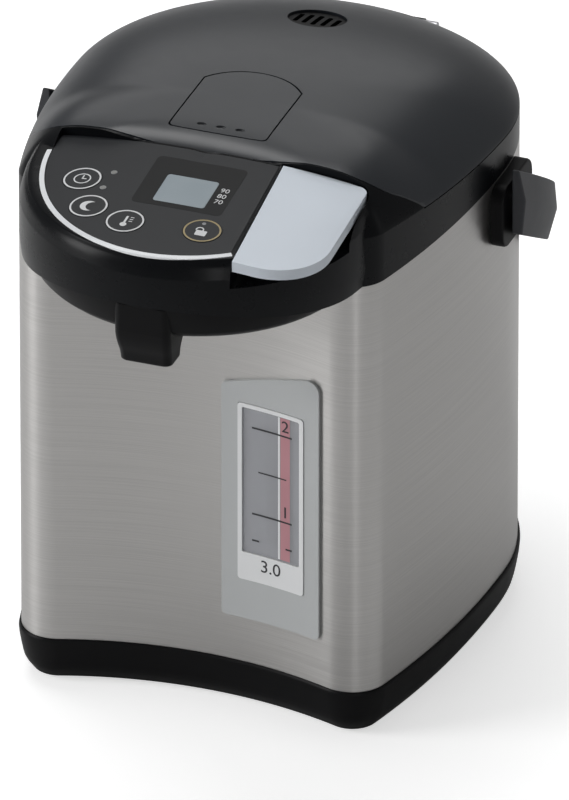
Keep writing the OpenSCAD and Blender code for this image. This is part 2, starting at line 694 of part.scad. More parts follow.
// ---- Pot, heater and pump ---------------------------------------------------
flange_t = 0.8;
flange_z = deck_top - deck_t - seat_gap - flange_t;
pot_lip = deck_top + 0.8;
shoulder_z = 208;
pump_c = [20, 50];
pump_z0 = 28.6;
pump_z1 = 42;
shield_r = pot_r + pot_t + 4;
module at_pot() { translate([0, axis_y, 0]) children(); }
module inner_pot() color("lightgray") placed() difference() {
    at_pot() rotate_extrude($fn = 128) polygon(concat([[0, pot_floor - pot_t]],
        arc([pot_r + pot_t - 8, pot_floor - pot_t + 8], 8, -90, 0, 8),
        [[pot_r + pot_t, shoulder_z], [neck_r + pot_t, flange_z - 3], [neck_r + pot_t, flange_z],
            [neck_r + 6, flange_z],
            [neck_r + 6, flange_z + flange_t], [neck_r + pot_t, flange_z + flange_t],
                [neck_r + pot_t, pot_lip],
            [neck_r, pot_lip], [neck_r, flange_z - 3.2], [pot_r, shoulder_z - 0.2]],
        arc([pot_r - 7, pot_floor + 7], 7, 0, -90, 8), [[0, pot_floor]]));
    translate([pump_c[0], pump_c[1], 50]) cylinder(r = tube_r - tube_t, h = 20, $fn = 32);
}
module heat_shield() color([0.75, 0.76, 0.78]) placed() difference() {
    at_pot() rotate_extrude($fn = 128) polygon([[20, shield_floor], [shield_r + 0.8, shield_floor],
        [shield_r + 0.8, deck_top - deck_t - seat_gap], [shield_r, deck_top - deck_t - seat_gap],
            [shield_r, shield_floor + 0.8],
        [20, shield_floor + 0.8]]);
    translate([pump_c[0], pump_c[1], shield_floor - 1]) cylinder(r = tube_r + 1, h = 3, $fn = 32);
}
heater_t = 3;
module heater_plate() color([0.55, 0.5, 0.42]) placed() at_pot()
    translate([0, 0, pot_floor - pot_t - heater_t]) difference() {
        cylinder(r = 58, h = heater_t, $fn = 96);
        translate([0, 0, -1]) cylinder(r = 5 + seat_gap, h = heater_t + 2, $fn = 48);
    }
module thermistor() color([0.7, 0.7, 0.7]) placed() at_pot()
    translate([0, 0, pot_floor - pot_t - 10]) cylinder(r = 5, h = 10, $fn = 48);
to_tube = [gauge_x, tube_y] - pump_c;
outlet_dir = to_tube / norm(to_tube);
outlet_z = 35;
module pump_housing() color([0.85, 0.85, 0.83]) placed() translate([pump_c[0], pump_c[1], 0]) {
    difference() {
        translate([0, 0, 19]) cylinder(r = pump_r, h = pump_z1 - 19, $fn = 64);
        translate([0, 0, 18]) cylinder(r = motor_r + seat_gap, h = pump_z0 - 18, $fn = 64);
        translate([0, 0, pump_z0 + 1.4]) cylinder(r = pump_r - 2, h = pump_z1 - pump_z0 - 3, $fn = 64);
        translate([0, 0, 30]) cylinder(r = tube_r - tube_t, h = 30, $fn = 32);
        translate([0, 0, outlet_z]) rotate([0, 90, heading(outlet_dir)]) cylinder(r = tube_r - tube_t,
            h = 40, $fn = 32);
    }
    translate([0, 0, pump_z0]) cylinder(r = 1.5, h = 6, $fn = 32);
}
module pump_impeller() color([0.3, 0.35, 0.6]) placed() translate([pump_c[0], pump_c[1],
    pump_z0 + 1.8]) difference() {
    union() {
        cylinder(r = 12, h = 2.4, $fn = 64);
        cylinder(r = 3.2, h = 5, $fn = 32);
        for (a = [0:60:300]) rotate([0, 0, a]) translate([2, -0.6, 0]) cube([9.6, 1.2, 5.4]);
    }
    translate([0, 0, -1]) cylinder(r = 1.5 + run_gap, h = 20, $fn = 32);
}
motor_z0 = lip_z;
motor_z1 = 22;
shaft_r = 1.5;
module drive_motor() color([0.7, 0.7, 0.72]) placed() translate([pump_c[0], pump_c[1],
    motor_z0]) difference() {
    cylinder(r = motor_r, h = motor_z1 - motor_z0, $fn = 64);
    translate([0, 0, 3]) cylinder(r = shaft_r + run_gap, h = 30, $fn = 32);
}
module motor_rotor() color([0.4, 0.4, 0.42]) placed() translate([pump_c[0], pump_c[1], 0]) {
    translate([0, 0, motor_z0 + 3.4]) cylinder(r = shaft_r, h = 22 - motor_z0, $fn = 32);
    translate([0, 0, motor_z1 + 1.2]) difference() {
        cylinder(r = 12, h = 4, $fn = 64);
        for (a = [45:90:315]) rotate([0, 0, a]) translate([8, 0, -1]) cylinder(r = 1.6, h = 6, $fn = 24);
    }
}
module pump_hose() color([0.85, 0.85, 0.82]) placed() {
    p = pump_c + outlet_dir * (pump_r + 0.1);
    hose([[p[0], p[1], outlet_z], [gauge_x, tube_y, outlet_z], [gauge_x, tube_y, level_bottom]], tube_r,
        tube_t);
}
module drain_stub() color([0.85, 0.85, 0.82]) placed()
    translate([pump_c[0], pump_c[1], 0]) tube(tube_r, tube_t, pump_z1, pot_floor - pot_t);

// ---- Electrical -------------------------------------------------------------
module power_board() color([0.05, 0.3, 0.15]) placed() translate([board_c[0], board_c[1], board_z]) {
    translate([-38, -21, 0]) cube([76, 42, board_t]);
    translate([-30, -12, board_t]) cube([22, 20, 14]);
    translate([4, -14, board_t]) cube([10, 10, 10]);
    translate([22, 4, board_t]) cylinder(r = 5, h = 14, $fn = 32);
}
module power_inlet() color([0.12, 0.12, 0.13]) placed() translate([0, back_y, inlet_z]) {
    difference() {
        union() {
            translate([-15.7, -8, -12.7]) cube([31.4, 9, 25.4]);
            translate([-18, 0.2, -15]) cube([36, 1.6, 30]);
        }
        translate([-12, -5, -9]) cube([24, 10, 18]);
    }
    for (x = [-6, 6]) translate([x, 0, 0]) along_y(-6, -0.5, 2);
}

// ---- Lid --------------------------------------------------------------------
pan_z = 232;
module barrel_slots() {
    for (m = [0, 1]) mirror([m, 0, 0])
        translate([0, hinge_y, hinge_z]) along_x(lug_x[0] - 0.5, lug_x[1] + 0.5, hinge_r + 1);
}
vent_c = [0, 149];
vent_r = 13.3;
lever_gap = 0.7;
tongue_w = 45;
tongue_y0 = 20.5;
tongue_y1 = 66;
tongue_arch = 12;
tongue_axis_y = 70;
tongue_axis_z = 272.8;
tongue_t = 2.6;
module tongue_plan(grow = 0) {
    w = tongue_w / 2 + grow;
    r = (w * w + tongue_arch * tongue_arch) / (2 * tongue_arch);
    turn = asin(w / r);
    polygon(concat([[-w, tongue_y0 - grow], [w, tongue_y0 - grow]],
        arc([0, tongue_y1 + tongue_arch - r + grow], r, 90 - turn, 90 + turn, 14)));
}
module lid_cover() color([0.12, 0.125, 0.14]) placed() {
    difference() {
        union() {
            intersection() {
                top_form();
                lid_block(0);
            }
            intersection() {
                top_form(0.3);
                translate([0, hinge_y, hinge_z]) along_x(-half_barrel, half_barrel, hinge_r - 0.1);
            }
        }
        difference() {
            below_seam();
            translate([0, hinge_y, hinge_z]) along_x(-half_barrel, half_barrel, hinge_r - 0.1);
        }
        difference() {
            intersection() {
                translate([0, 0, -0.3]) top_form(cover_t);
                lid_block(cover_t);
            }
            translate([0, hinge_y, hinge_z]) along_x(-half_barrel, half_barrel, hinge_r - 0.1);
        }
        barrel_slots();
        translate([0, hinge_y, hinge_z]) along_x(-pin_half - 1, pin_half + 1, hinge_pin_r + run_gap);
        translate([vent_c[0], vent_c[1], 240]) cylinder(r = vent_r, h = 60, $fn = 64);
        translate([0, 0, 250]) linear_extrude(50) tongue_plan(lever_gap);
        translate([-8.4, 0, latch_z - 0.4]) cube([16.8, 30, latch_t + 0.8]);
        translate([0, tongue_axis_y, tongue_axis_z]) {
            along_x(-tongue_pin_half, tongue_pin_half, tongue_pin_r);
            translate([0, 0, -barrel_drop]) along_x(-tongue_w / 2 - 0.4, tongue_w / 2 + 0.4,
                tongue_barrel_r + 0.5);
        }
    }
    // ears that hold the tongue's pin
    for (m = [0, 1]) mirror([m, 0, 0]) difference() {
        translate([tongue_w / 2 + lever_gap + 0.4, tongue_axis_y - 4, tongue_axis_z - 4]) cube([4, 8, 5.2]);
        translate([0, tongue_axis_y, tongue_axis_z]) along_x(0, 60, tongue_pin_r);
    }
}
tongue_pin_r = 1.1;
tongue_pin_half = tongue_w / 2 + 4.4;
tongue_barrel_r = 2.4;
barrel_drop = 0.6;
module lid_lever() color([0.13, 0.135, 0.15]) placed() {
    difference() {
        union() {
            intersection() {
                translate([0, 0, 250]) linear_extrude(50) tongue_plan();
                difference() {
                    top_form();
                    translate([0, 0, -tongue_t]) top_form();
                }
            }
            translate([0, tongue_axis_y, tongue_axis_z - barrel_drop]) along_x(-tongue_w / 2,
                tongue_w / 2, tongue_barrel_r);
            translate([-5, tongue_y0 + 12, latch_z + latch_t + 0.8]) cube([10, 3, 17]);
        }
        translate([0, tongue_axis_y, tongue_axis_z]) along_x(-60, 60, tongue_pin_r + run_gap);
    }
}
module lever_pin() color("silver") placed()
    translate([0, tongue_axis_y, tongue_axis_z]) along_x(-tongue_pin_half, tongue_pin_half, tongue_pin_r);
module hinge_pin() color("silver") placed()
    translate([0, hinge_y, hinge_z]) along_x(-pin_half, pin_half, hinge_pin_r);
latch_back = 40;
latch_stop = 50;
latch_lug = 1.6;
module latch_slider() color([0.75, 0.75, 0.73]) placed() {
    translate([-7.5, wall_y - 2.2, latch_z]) cube([15, latch_back - wall_y + 2.2, latch_t]);
    translate([-6, latch_back - 3, latch_z]) cube([12, 3, latch_t + latch_lug]);
}
module latch_spring() color("silver") placed()
    translate([0, latch_back + 0.2, latch_z + 2.8]) rotate([-90, 0, 0]) coil_spring(2.6, 0.4,
        latch_stop - latch_back - 0.4, 6);
pan_t = 2.3;
// Inside of the lid cover, set in by off, from height z0 to just over the seam
module pan_form(off, z0) {
    intersection() {
        prism(off, z0, 300);
        lid_block(off);
        translate([0, 0, -2 * seat_gap]) top_form(off);
        below_seam(off == cover_t + seat_gap ? 2.5 : 30);
    }
}
module lid_pan() color([0.13, 0.13, 0.14]) placed() {
    difference() {
        pan_form(cover_t + seat_gap, pan_z);
        pan_form(cover_t + seat_gap + pan_t, pan_z + pan_t);
        translate([0, hinge_y, hinge_z]) along_x(-60, 60, hinge_r + 0.7);
        translate([0, back_y - 3, pan_z]) cube([120, 2 * hinge_inset + 4, 60], center = true);
        translate([-10, 0, latch_z - 0.4]) cube([20, 30, 20]);
        at_pot() translate([vent_c[0], vent_c[1] - axis_y, 220]) cylinder(r = 6, h = 30, $fn = 48);
    }
    difference() {
        translate([-9, lid_front + 6, pan_z + 1]) cube([18, latch_stop + 4 - lid_front - 6,
            latch_z + 5 - pan_z - 1]);
        translate([-8, lid_front, latch_z - seat_gap]) cube([16, latch_stop - lid_front, 20]);
        translate([-10, lid_front, pan_z + 4]) cube([20, 20, latch_z - 5 - pan_z]);
    }
}
plug_r = neck_r - 3;
module inner_lid() color("lightgray") placed() difference() {
    at_pot() rotate_extrude($fn = 128) polygon([[0, deck_top - 5], [plug_r, deck_top - 5],
        [plug_r, pan_z], [plug_r - 1, pan_z],
        [plug_r - 1, deck_top - 4], [0, deck_top - 4]]);
    for (x = [-6, 6]) translate([x, axis_y, 200]) cylinder(r = 2, h = 40, $fn = 32);
}
module lid_gasket() color([0.8, 0.8, 0.78]) placed() at_pot()
    rotate_extrude($fn = 128) polygon([[plug_r + seat_gap, pot_lip + seat_gap],
        [neck_r + 4.5, pot_lip + seat_gap],
        [neck_r + 4.5, pan_z], [plug_r + seat_gap, pan_z]]);
module steam_vent() color([0.1, 0.1, 0.11]) placed() {
    difference() {
        intersection() {
            translate([vent_c[0], vent_c[1], 240]) cylinder(r = vent_r - 0.2, h = 60, $fn = 64);
            translate([0, 0, -1.2]) top_form();
        }
        translate([0, 0, -3.6]) top_form();
        for (i = [-1.5:1:1.5]) translate([vent_c[0] + 5 * i - 1.2, vent_c[1] - 7, 240]) cube([2.4, 14, 60]);
    }
}
module steam_trap() color([0.2, 0.2, 0.22]) placed() {
    intersection() {
        translate([vent_c[0], vent_c[1], 0]) tube(12, 1.6, pan_z + 2.5, 290);
        translate([0, 0, -3.6]) top_form();
    }
}

// ---- Handle -----------------------------------------------------------------
ear_w = 39;
ear_h = 31;
ear_r = 8;
module handle_ear() {
    difference() {
        translate([body_r - ear_r, pivot_y, pivot_z]) rotate([90, 0, 90])
            linear_extrude(ear_t + ear_r) round_flat(ear_w, ear_h, ear_r);
        prism(0, 0, 300);
        translate([0, pivot_y, pivot_z]) along_x(0, 200, pivot_r + 0.1);
    }
}
pin_depth = 4.4;
module pivot_pin() {
    translate([0, pivot_y, pivot_z]) {
        along_x(inner_r - 3, arm_in + pin_depth, pivot_r);
        along_x(inner_r - 3, inner_r - 0.5, pivot_r + 3);
    }
}
module handle_ear_right() color([0.08, 0.08, 0.09]) placed() handle_ear();
module handle_ear_left() color([0.08, 0.08, 0.09]) placed() mirror([1, 0, 0]) handle_ear();
module handle_pin_right() color("silver") placed() pivot_pin();
module handle_pin_left() color("silver") placed() mirror([1, 0, 0]) pivot_pin();
// Section of the handle with its inner edge at a and its outer edge at b, in its own plane
function handle_section(a, b, h, front = false) = let (u = unit(b - a), t = norm(b - a))
    [for (q = [[0, -h], [0, h], [t - ridge_top, h], [t, ridge_h], [t - ridge_low, -h]])
        let (p = a + q[0] * u, d = front ? (p[1] - q[1] * sin(handle_tilt)) / cos(handle_tilt) : p[1])
        [p[0], pivot_y + d * cos(handle_tilt) + q[1] * sin(handle_tilt),
            pivot_z - d * sin(handle_tilt) + q[1] * cos(handle_tilt)]];
// The handle's plan is a squared ellipse, so that its arms pass the ears before they turn in
bow_power = 0.9;
function bow(a, rx, ry) = [rx * pow(cos(a), bow_power), ry * pow(sin(a), bow_power)];
function handle_half() = concat([handle_section([arm_in, -14], [arm_out, -14], arm_h / 2, true)],
    [for (a = [0:6:90]) handle_section(bow(a, arm_in, grip_in), bow(a, arm_out, grip_out),
        (arm_h + (grip_h - arm_h) * min(a / 45, 1)) / 2)]);
module handle() color([0.3, 0.305, 0.32]) placed() {
    half = handle_half();
    other = [for (i = [len(half) - 2:-1:0]) [for (p = half[i]) [-p[0], p[1], p[2]]]];
    difference() {
        skin(concat(half, other));
        for (m = [0, 1]) mirror([m, 0, 0])
            translate([0, pivot_y, pivot_z]) along_x(arm_in - 1, arm_in + pin_depth + 0.3,
                pivot_r + run_gap);
    }
}

outer_shell();
base_ring();
bottom_cover();
foot_pads();
bottom_screws();
top_housing();
chin_housing();
spout();
nozzle_tube();
outlet_hose();
control_panel();
accent_strip();
lcd_window();
lcd_module();
control_board();
key_timer();
key_saving();
key_temp();
key_unlock();
indicator_lights();
dispense_lever();
dispense_pin();
dispense_spring();
dispense_switch();
gauge_plate();
gauge_frame();
gauge_window();
gauge_scale();
level_tube();
inner_pot();
heat_shield();
heater_plate();
thermistor();
pump_housing();
pump_impeller();
drive_motor();
motor_rotor();
pump_hose();
drain_stub();
power_board();
power_inlet();
lid_cover();
lid_pan();
inner_lid();
lid_gasket();
steam_vent();
steam_trap();
hinge_pin();
lid_lever();
lever_pin();
latch_slider();
latch_spring();
handle_ear_left();
handle_ear_right();
handle_pin_left();
handle_pin_right();
handle();
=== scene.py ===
import json
import math
import bpy
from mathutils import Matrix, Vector


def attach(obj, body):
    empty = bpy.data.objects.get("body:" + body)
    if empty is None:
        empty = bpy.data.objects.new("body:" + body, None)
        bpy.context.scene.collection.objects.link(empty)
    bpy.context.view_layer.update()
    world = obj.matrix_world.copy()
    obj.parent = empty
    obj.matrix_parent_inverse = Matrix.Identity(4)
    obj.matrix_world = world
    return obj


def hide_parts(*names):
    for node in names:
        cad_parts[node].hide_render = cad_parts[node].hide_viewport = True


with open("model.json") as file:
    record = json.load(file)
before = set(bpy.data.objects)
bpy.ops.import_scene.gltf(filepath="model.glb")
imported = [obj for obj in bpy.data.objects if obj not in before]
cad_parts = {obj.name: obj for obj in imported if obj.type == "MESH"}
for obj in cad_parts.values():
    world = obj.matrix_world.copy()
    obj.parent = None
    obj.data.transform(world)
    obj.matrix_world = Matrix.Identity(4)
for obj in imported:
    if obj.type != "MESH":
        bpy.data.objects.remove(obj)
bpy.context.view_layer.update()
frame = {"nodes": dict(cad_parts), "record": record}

# The part's own measures, in millimetres, in the frame of its source:
# X = 0 is the middle, Y = 0 the casing's front centre, +Y back, Z = 0 the floor.
MM = 0.001
MID_Y = 78.4948
BODY_R, SIDE_R, CORNER_R, SCOOP_R, AXIS_Y = 101.0, 440.0, 17.0, 192.0, 116.0
BACK_Y = AXIS_Y + BODY_R
BASE_H, SHELL_TOP, DECK_TOP = 24.0, 228.4, 229.0
SEAM_Z, SEAM_FALL, DOME_TOP, PEAK_Y = 251.8, 0.0635, 276.0, 55.0
LID_GAP, LID_FRONT, COVER_T = 0.6, 9.0, 2.5
NOSE_R, PANEL_Z, PANEL_SLOPE, RIM_Z, PANEL_T = 79.0, 272.0, 0.1, 240.0, 1.6
HINGE_Y, HINGE_Z, HINGE_R, HALF_BARREL = BACK_Y - 11.0, 241.0, 11.4, 46.5

# A cutter for the top starts at one of these heights and ends above everything
UNDER_NOSE, UNDER_KEYS, ABOVE = 235.0, 240.0, 300.0
# Outline points that lie closer than this are one point
SAME_POINT = 0.005
# Steps along the outline's scoop, front corner, side and back
SCOOP_STEPS, CORNER_STEPS, SIDE_STEPS, BACK_STEPS = 24, 20, 28, 40


# ---- Plane figures ------------------------------------------------------------
def arc(cx, cy, r, a0, a1, n):
    step = math.radians(a1 - a0) / n
    a0 = math.radians(a0)
    return [(cx + r * math.cos(a0 + i * step), cy + r * math.sin(a0 + i * step)) for i in range(n + 1)]


def mirrored(p):
    return [(-x, y) for x, y in reversed(p)]


def heading(dx, dy):
    return math.degrees(math.atan2(dy, dx))


def crossing(a, ra, b, rb):
    d = math.dist(a, b)
    ex, ey = (b[0] - a[0]) / d, (b[1] - a[1]) / d
    x = (ra * ra - rb * rb + d * d) / (2 * d)
    h = math.sqrt(ra * ra - x * x)
    return a[0] + x * ex - h * ey, a[1] + x * ey + h * ex


def merged(p):
    q = [p[0]]
    for c in p[1:]:
        if math.dist(c, q[-1]) > SAME_POINT:
            q.append(c)
    return q


OUTLINES = {}


def outline(off=0.0):
    """The casing's outline, set in by off."""
    if off not in OUTLINES:
        side, scoop = (BODY_R - SIDE_R, AXIS_Y), (0.0, -SCOOP_R)
        c = crossing(side, SIDE_R - CORNER_R, scoop, SCOOP_R + CORNER_R)
        to_scoop = heading(scoop[0] - c[0], scoop[1] - c[1])
        to_side = heading(c[0] - side[0], c[1] - side[1])
        half = merged(
            arc(*scoop, SCOOP_R + off, 90, heading(c[0] - scoop[0], c[1] - scoop[1]), SCOOP_STEPS)
            + arc(*c, CORNER_R - off, to_scoop, to_side, CORNER_STEPS)
            + arc(*side, SIDE_R - off, to_side, 0, SIDE_STEPS)
            + arc(0.0, AXIS_Y, BODY_R - off, 0, 90, BACK_STEPS)
        )
        OUTLINES[off] = half + mirrored(half[1:-1])
    return OUTLINES[off]


def spline(points, n):
    """A smooth curve through points of any size, n steps between neighbours."""
    out = []
    for i in range(len(points) - 1):
        a, b = points[max(i - 1, 0)], points[i]
        c, d = points[i + 1], points[min(i + 2, len(points) - 1)]
        for k in range(n):
            t = k / n
            out.append(tuple(
                0.5 * (2 * q + (r - p) * t + (2 * p - 5 * q + 4 * r - s) * t * t
                       + (3 * q - p - 3 * r + s) * t ** 3)
                for p, q, r, s in zip(a, b, c, d)))
    return out + [tuple(points[-1])]


def round_rect(cx, cy, w, d, r, n=8):
    p = []
    for sx, sy, a in ((1, -1, -90), (1, 1, 0), (-1, 1, 90), (-1, -1, 180)):
        p += arc(cx + sx * (w / 2 - r), cy + sy * (d / 2 - r), r, a, a + 90, n)
    return p


# ---- Meshes -------------------------------------------------------------------
def make(name, verts, faces):
    mesh = bpy.data.meshes.new(name)
    mesh.from_pydata([(x * MM, (y - MID_Y) * MM, z * MM) for x, y, z in verts], [], faces)
    mesh.update()
    ob = bpy.data.objects.new(name, mesh)
    bpy.context.scene.collection.objects.link(ob)
    return ob


def tube_faces(n, rows):
    """Quads between rings of n points, and one face over each end."""
    faces = [(k * n + i, k * n + (i + 1) % n, (k + 1) * n + (i + 1) % n, (k + 1) * n + i)
             for k in range(rows - 1) for i in range(n)]
    return faces + [tuple(range(n - 1, -1, -1)), tuple(range((rows - 1) * n, rows * n))]


def skin(name, rings):
    """A closed solid through rings of equal length, each running anticlockwise seen from above,
    the lowest ring first."""
    n = len(rings[0])
    verts = [p for r in rings for p in r]
    faces = []
    for k in range(len(rings) - 1):
        for i in range(n):
            j = (i + 1) % n
            faces.append((k * n + i, k * n + j, (k + 1) * n + j, (k + 1) * n + i))
    for k, turn in ((0, True), (len(rings) - 1, False)):
        ring = rings[k]
        c = len(verts)
        verts.append(tuple(sum(p[a] for p in ring) / n for a in range(3)))
        for i in range(n):
            j = (i + 1) % n
            a, b = k * n + i, k * n + j
            faces.append((c, b, a) if turn else (c, a, b))
    return make(name, verts, faces)


def prism(plan, z0, z1, name="tool"):
    """A plan pulled up from z0 to z1."""
    verts = [(x, y, z0) for x, y in plan] + [(x, y, z1) for x, y in plan]
    return make(name, verts, tube_faces(len(plan), 2))


ROUND_SIDES = 64


def rod_x(x0, x1, y, z, r):
    """A round rod from x0 to x1."""
    ring = arc(y, z, r, 0, 360, ROUND_SIDES)[:-1]
    verts = [(x, p[0], p[1]) for x in (x0, x1) for p in ring]
    return make("tool", verts, tube_faces(ROUND_SIDES, 2))


def disc(x, y, r, z0, z1, n=ROUND_SIDES):
    return prism(arc(x, y, r, 0, 360, n)[:-1], z0, z1)


def block(x0, x1, y0, y1, z0, z1):
    return prism([(x0, y0), (x1, y0), (x1, y1), (x0, y1)], z0, z1)


def settle(ob):
    """Makes what the modifiers show the object's own mesh."""
    graph = bpy.context.evaluated_depsgraph_get()
    mesh = bpy.data.meshes.new_from_object(ob.evaluated_get(graph))
    ob.modifiers.clear()
    ob.data = mesh
    return ob


def drop(ob):
    bpy.data.objects.remove(ob, do_unlink=True)


def combine(ob, kind, *tools):
    for t in tools:
        m = ob.modifiers.new("solid", "BOOLEAN")
        m.operation, m.object, m.solver = kind, t, "MANIFOLD"
    settle(ob)
    for t in tools:
        drop(t)
    return ob


def minus(ob, *tools):
    return combine(ob, "DIFFERENCE", *tools)


def both(ob, *tools):
    return combine(ob, "INTERSECT", *tools)


def plus(ob, *tools):
    return combine(ob, "UNION", *tools)


def soften(ob, width=0.4, angle=38, segments=2):
    """Rounds the edges that are sharper than angle and shades the rest smooth."""
    if width:
        m = ob.modifiers.new("edge", "BEVEL")
        m.width, m.segments, m.limit_method = width * MM, segments, "ANGLE"
        m.angle_limit = math.radians(angle)
        settle(ob)
    ob.data.shade_smooth()
    ob.data.set_sharp_from_angle(angle=math.radians(angle))
    w = ob.modifiers.new("weights", "WEIGHTED_NORMAL")
    w.keep_sharp = True
    return ob


# ---- Forms of the top -----------------------------------------------------------
def seam(y):
    return SEAM_Z - SEAM_FALL * y


DOME_POWER = 0.85


def dome_z(s, x, y):
    """The dome's height at the share s of the way out from its peak to (x, y)."""
    k = 3.8 - 1.2 * max(0.0, (y - PEAK_Y) / (BACK_Y - PEAK_Y))
    t = min(max(0.0, (PEAK_Y - y) / PEAK_Y), 1.0)
    k += 4 * t * t * (3 - 2 * t)
    return seam(y) + (DOME_TOP - seam(y)) * (1 - s ** k) ** DOME_POWER


SHARES = [1 - 0.985 * (i / 40) ** 2.1 for i in range(41)]


def top_form(off=0.0, drop_z=0.0, name="top"):
    rings = [[(x, y, SHELL_TOP - off - drop_z) for x, y in outline(off)]]
    for s in SHARES:
        rings.append([(s * x, PEAK_Y + s * (y - PEAK_Y), dome_z(s, x, y) - off - drop_z)
                      for x, y in outline(off)])
    return skin(name, rings)


def below_seam(lift=0.0):
    """Everything under the lid's seam."""
    corners = ((-200, -200), (200, -200), (200, 400), (-200, 400))
    verts = [(x, y, SEAM_Z + lift - SEAM_FALL * y) for x, y in corners]
    verts += [(x, y, 100.0) for x, y, _ in verts]
    faces = [(0, 1, 2, 3), (7, 6, 5, 4), (0, 4, 5, 1), (1, 5, 6, 2), (2, 6, 7, 3), (3, 7, 4, 0)]
    return make("tool", verts, faces)


PANEL_CROWN, CROWN_HALF, CROWN_POWER = 5, 74, 2.5
RIM_START, RIM_POWER = 15, 1.8


def nose_z(x, y):
    """The panel's height: it slopes down to the front and falls off to the sides."""
    return PANEL_Z + PANEL_SLOPE * y - PANEL_CROWN * (abs(x) / CROWN_HALF) ** CROWN_POWER


def rim(y):
    """The height of the nose's lower edge, which rises to the front."""
    return SHELL_TOP + (RIM_Z - SHELL_TOP) * max(0.0, (-y - RIM_START) / (NOSE_R - RIM_START)) ** RIM_POWER


def nose_plan(r, share=1.0):
    """Its flank runs out to the casing's corner at share 1, and into the dome at share 0."""
    half = arc(0, 0, r, -90, -8, 44)
    tail = spline([half[-2], half[-1], (r + 0.3 + 3.9 * share, 9), (r - 1.5 + 8.9 * share, 20),
                   (r - 5 + 12.5 * share, 31)], 6)[6:]
    half = half[:-1] + tail + [(r - 9, 40)]
    return half + [(0, 40)] + mirrored(half[1:])


def nose_ring(r, drop_z):
    return [(x, y, nose_z(x, min(y, 12)) - drop_z) for x, y in nose_plan(r, 0.0)]


# The nose's rounded top edge: how far out and how far down
EDGE = [(0.6, 9.0), (-0.8, 4.0), (-2.6, 1.4), (-5.4, 0.2), (-19.75, 0.0)]


INNER_SHARES = (0.62, 0.5, 0.37, 0.25, 0.12)


def nose_form(lift=0.0):
    rings = [[(x, y, rim(y)) for x, y in nose_plan(NOSE_R)]]
    rings.append([(x, y, rim(y) + 9) for x, y in nose_plan(NOSE_R + 0.9)])
    for dr, dz in spline(EDGE, 4):
        rings.append(nose_ring(NOSE_R + dr, dz))
    for share in INNER_SHARES:
        rings.append(nose_ring(share * NOSE_R, 0.0))
    return skin("nose", [[(x, y, z + lift) for x, y, z in r] for r in rings])


def nose_slab(lift=0.0):
    """Everything under the panel's surface raised by lift."""
    wide = NOSE_R + 16
    rings = [[(x, y, 200.0) for x, y in nose_plan(wide)], nose_ring(wide, -lift)]
    for share in (0.95, 0.85, 0.75) + INNER_SHARES:
        rings.append(nose_ring(share * NOSE_R, -lift))
    return skin("slab", rings)


def above_nose(depth, plan):
    return minus(prism(plan, UNDER_NOSE, ABOVE), nose_slab(-depth))


def on_nose(name, plan, proud, depth):
    """A plan laid on the nose, standing proud of it and reaching down to depth."""
    ob = prism(plan, UNDER_NOSE, ABOVE, name)
    return minus(both(ob, nose_form(proud)), nose_slab(-depth))


LID_TURN, LID_CORNER_X, LID_CORNER_R, LID_EDGE = 57, 66, 21, 70


def lid_plan(off):
    """The lid's straight front edge, its round corners and the cuts that run out from them."""
    a = arc(LID_CORNER_X, LID_FRONT + LID_CORNER_R, LID_CORNER_R - off, -90, LID_TURN - 90, 24)
    turn = math.radians(LID_TURN)
    e = (a[-1][0] + LID_EDGE * math.cos(turn), a[-1][1] + LID_EDGE * math.sin(turn))
    half = [(0, LID_FRONT + off)] + a + [e, (250, 320), (0, 320)]
    return half + mirrored(half[1:-1])


def lid_block(off, z0=200.0):
    return prism(lid_plan(off), z0, ABOVE)


LEVER_GAP = 1.2
LEVER = {"x0": 36.0, "x1": 76.0, "front": -69.0, "back": LID_FRONT - LID_GAP - LEVER_GAP, "r": 27.0,
         "well": 12.8}


def lever_plan(grow=0.0):
    g = LEVER
    c = (g["x1"] - g["r"], g["front"] + g["r"])
    return ([(g["x0"] - grow, g["back"] + grow), (g["x0"] + 4 - grow, g["front"] - grow)]
            + arc(*c, g["r"] + grow, -90, 0, 24) + arc(g["x1"] - 4, g["back"] - 4, 4 + grow, 0, 90, 8))


def ellipse(rx, ry, a0, a1, n):
    return [(rx * math.cos(math.radians(a0 + (a1 - a0) * i / n)),
             ry * math.sin(math.radians(a0 + (a1 - a0) * i / n))) for i in range(n + 1)]


STRIP_RX, STRIP_RY, STRIP_W, STRIP_END = 69.0, 75.0, 2.2, 303.0
PANEL_INSET = STRIP_W / 2 + 0.3
PANEL_BACK = LEVER["back"]
KEYS = {"key_timer": (-45.7, -26.1), "key_saving": (-35.3, -46.3), "key_temp": (-15.5, -53.6),
        "key_unlock": (19.4, -50.7)}
KEY_R = 8.6
LAMPS = [(-33.6, -18.6), (-34.2, -31.0)]
LCD_C, LCD_SIZE, LCD_CORNER = (2.0, -24.0), (24.0, 21.0), 1.5
LCD_HOLE = round_rect(*LCD_C, LCD_SIZE[0] + 0.2, LCD_SIZE[1] + 0.2, LCD_CORNER)
STRIP_START = 184


def panel_plan(grow=0.0):
    rx, ry = STRIP_RX - PANEL_INSET + grow, STRIP_RY - PANEL_INSET + grow
    return ellipse(rx, ry, 180, STRIP_END, 90) + [(LEVER["x0"] - 2 + grow, PANEL_BACK + grow),
                                                  (-rx, PANEL_BACK + grow)]


def strip_plan(grow=0.0):
    h = STRIP_W / 2 + grow
    return (ellipse(STRIP_RX + h, STRIP_RY + h, STRIP_START, STRIP_END, 110)
            + ellipse(STRIP_RX - h, STRIP_RY - h, STRIP_END, STRIP_START, 110))


# ---- Materials --------------------------------------------------------------------
# Noise stays mostly within these values
NOISE_LOW, NOISE_HIGH = 0.3, 0.7
TINT_LOW, TINT_HIGH = 0.32, 0.68
GLOSS_VARY, LEAST_ROUGH = 0.012, 0.03


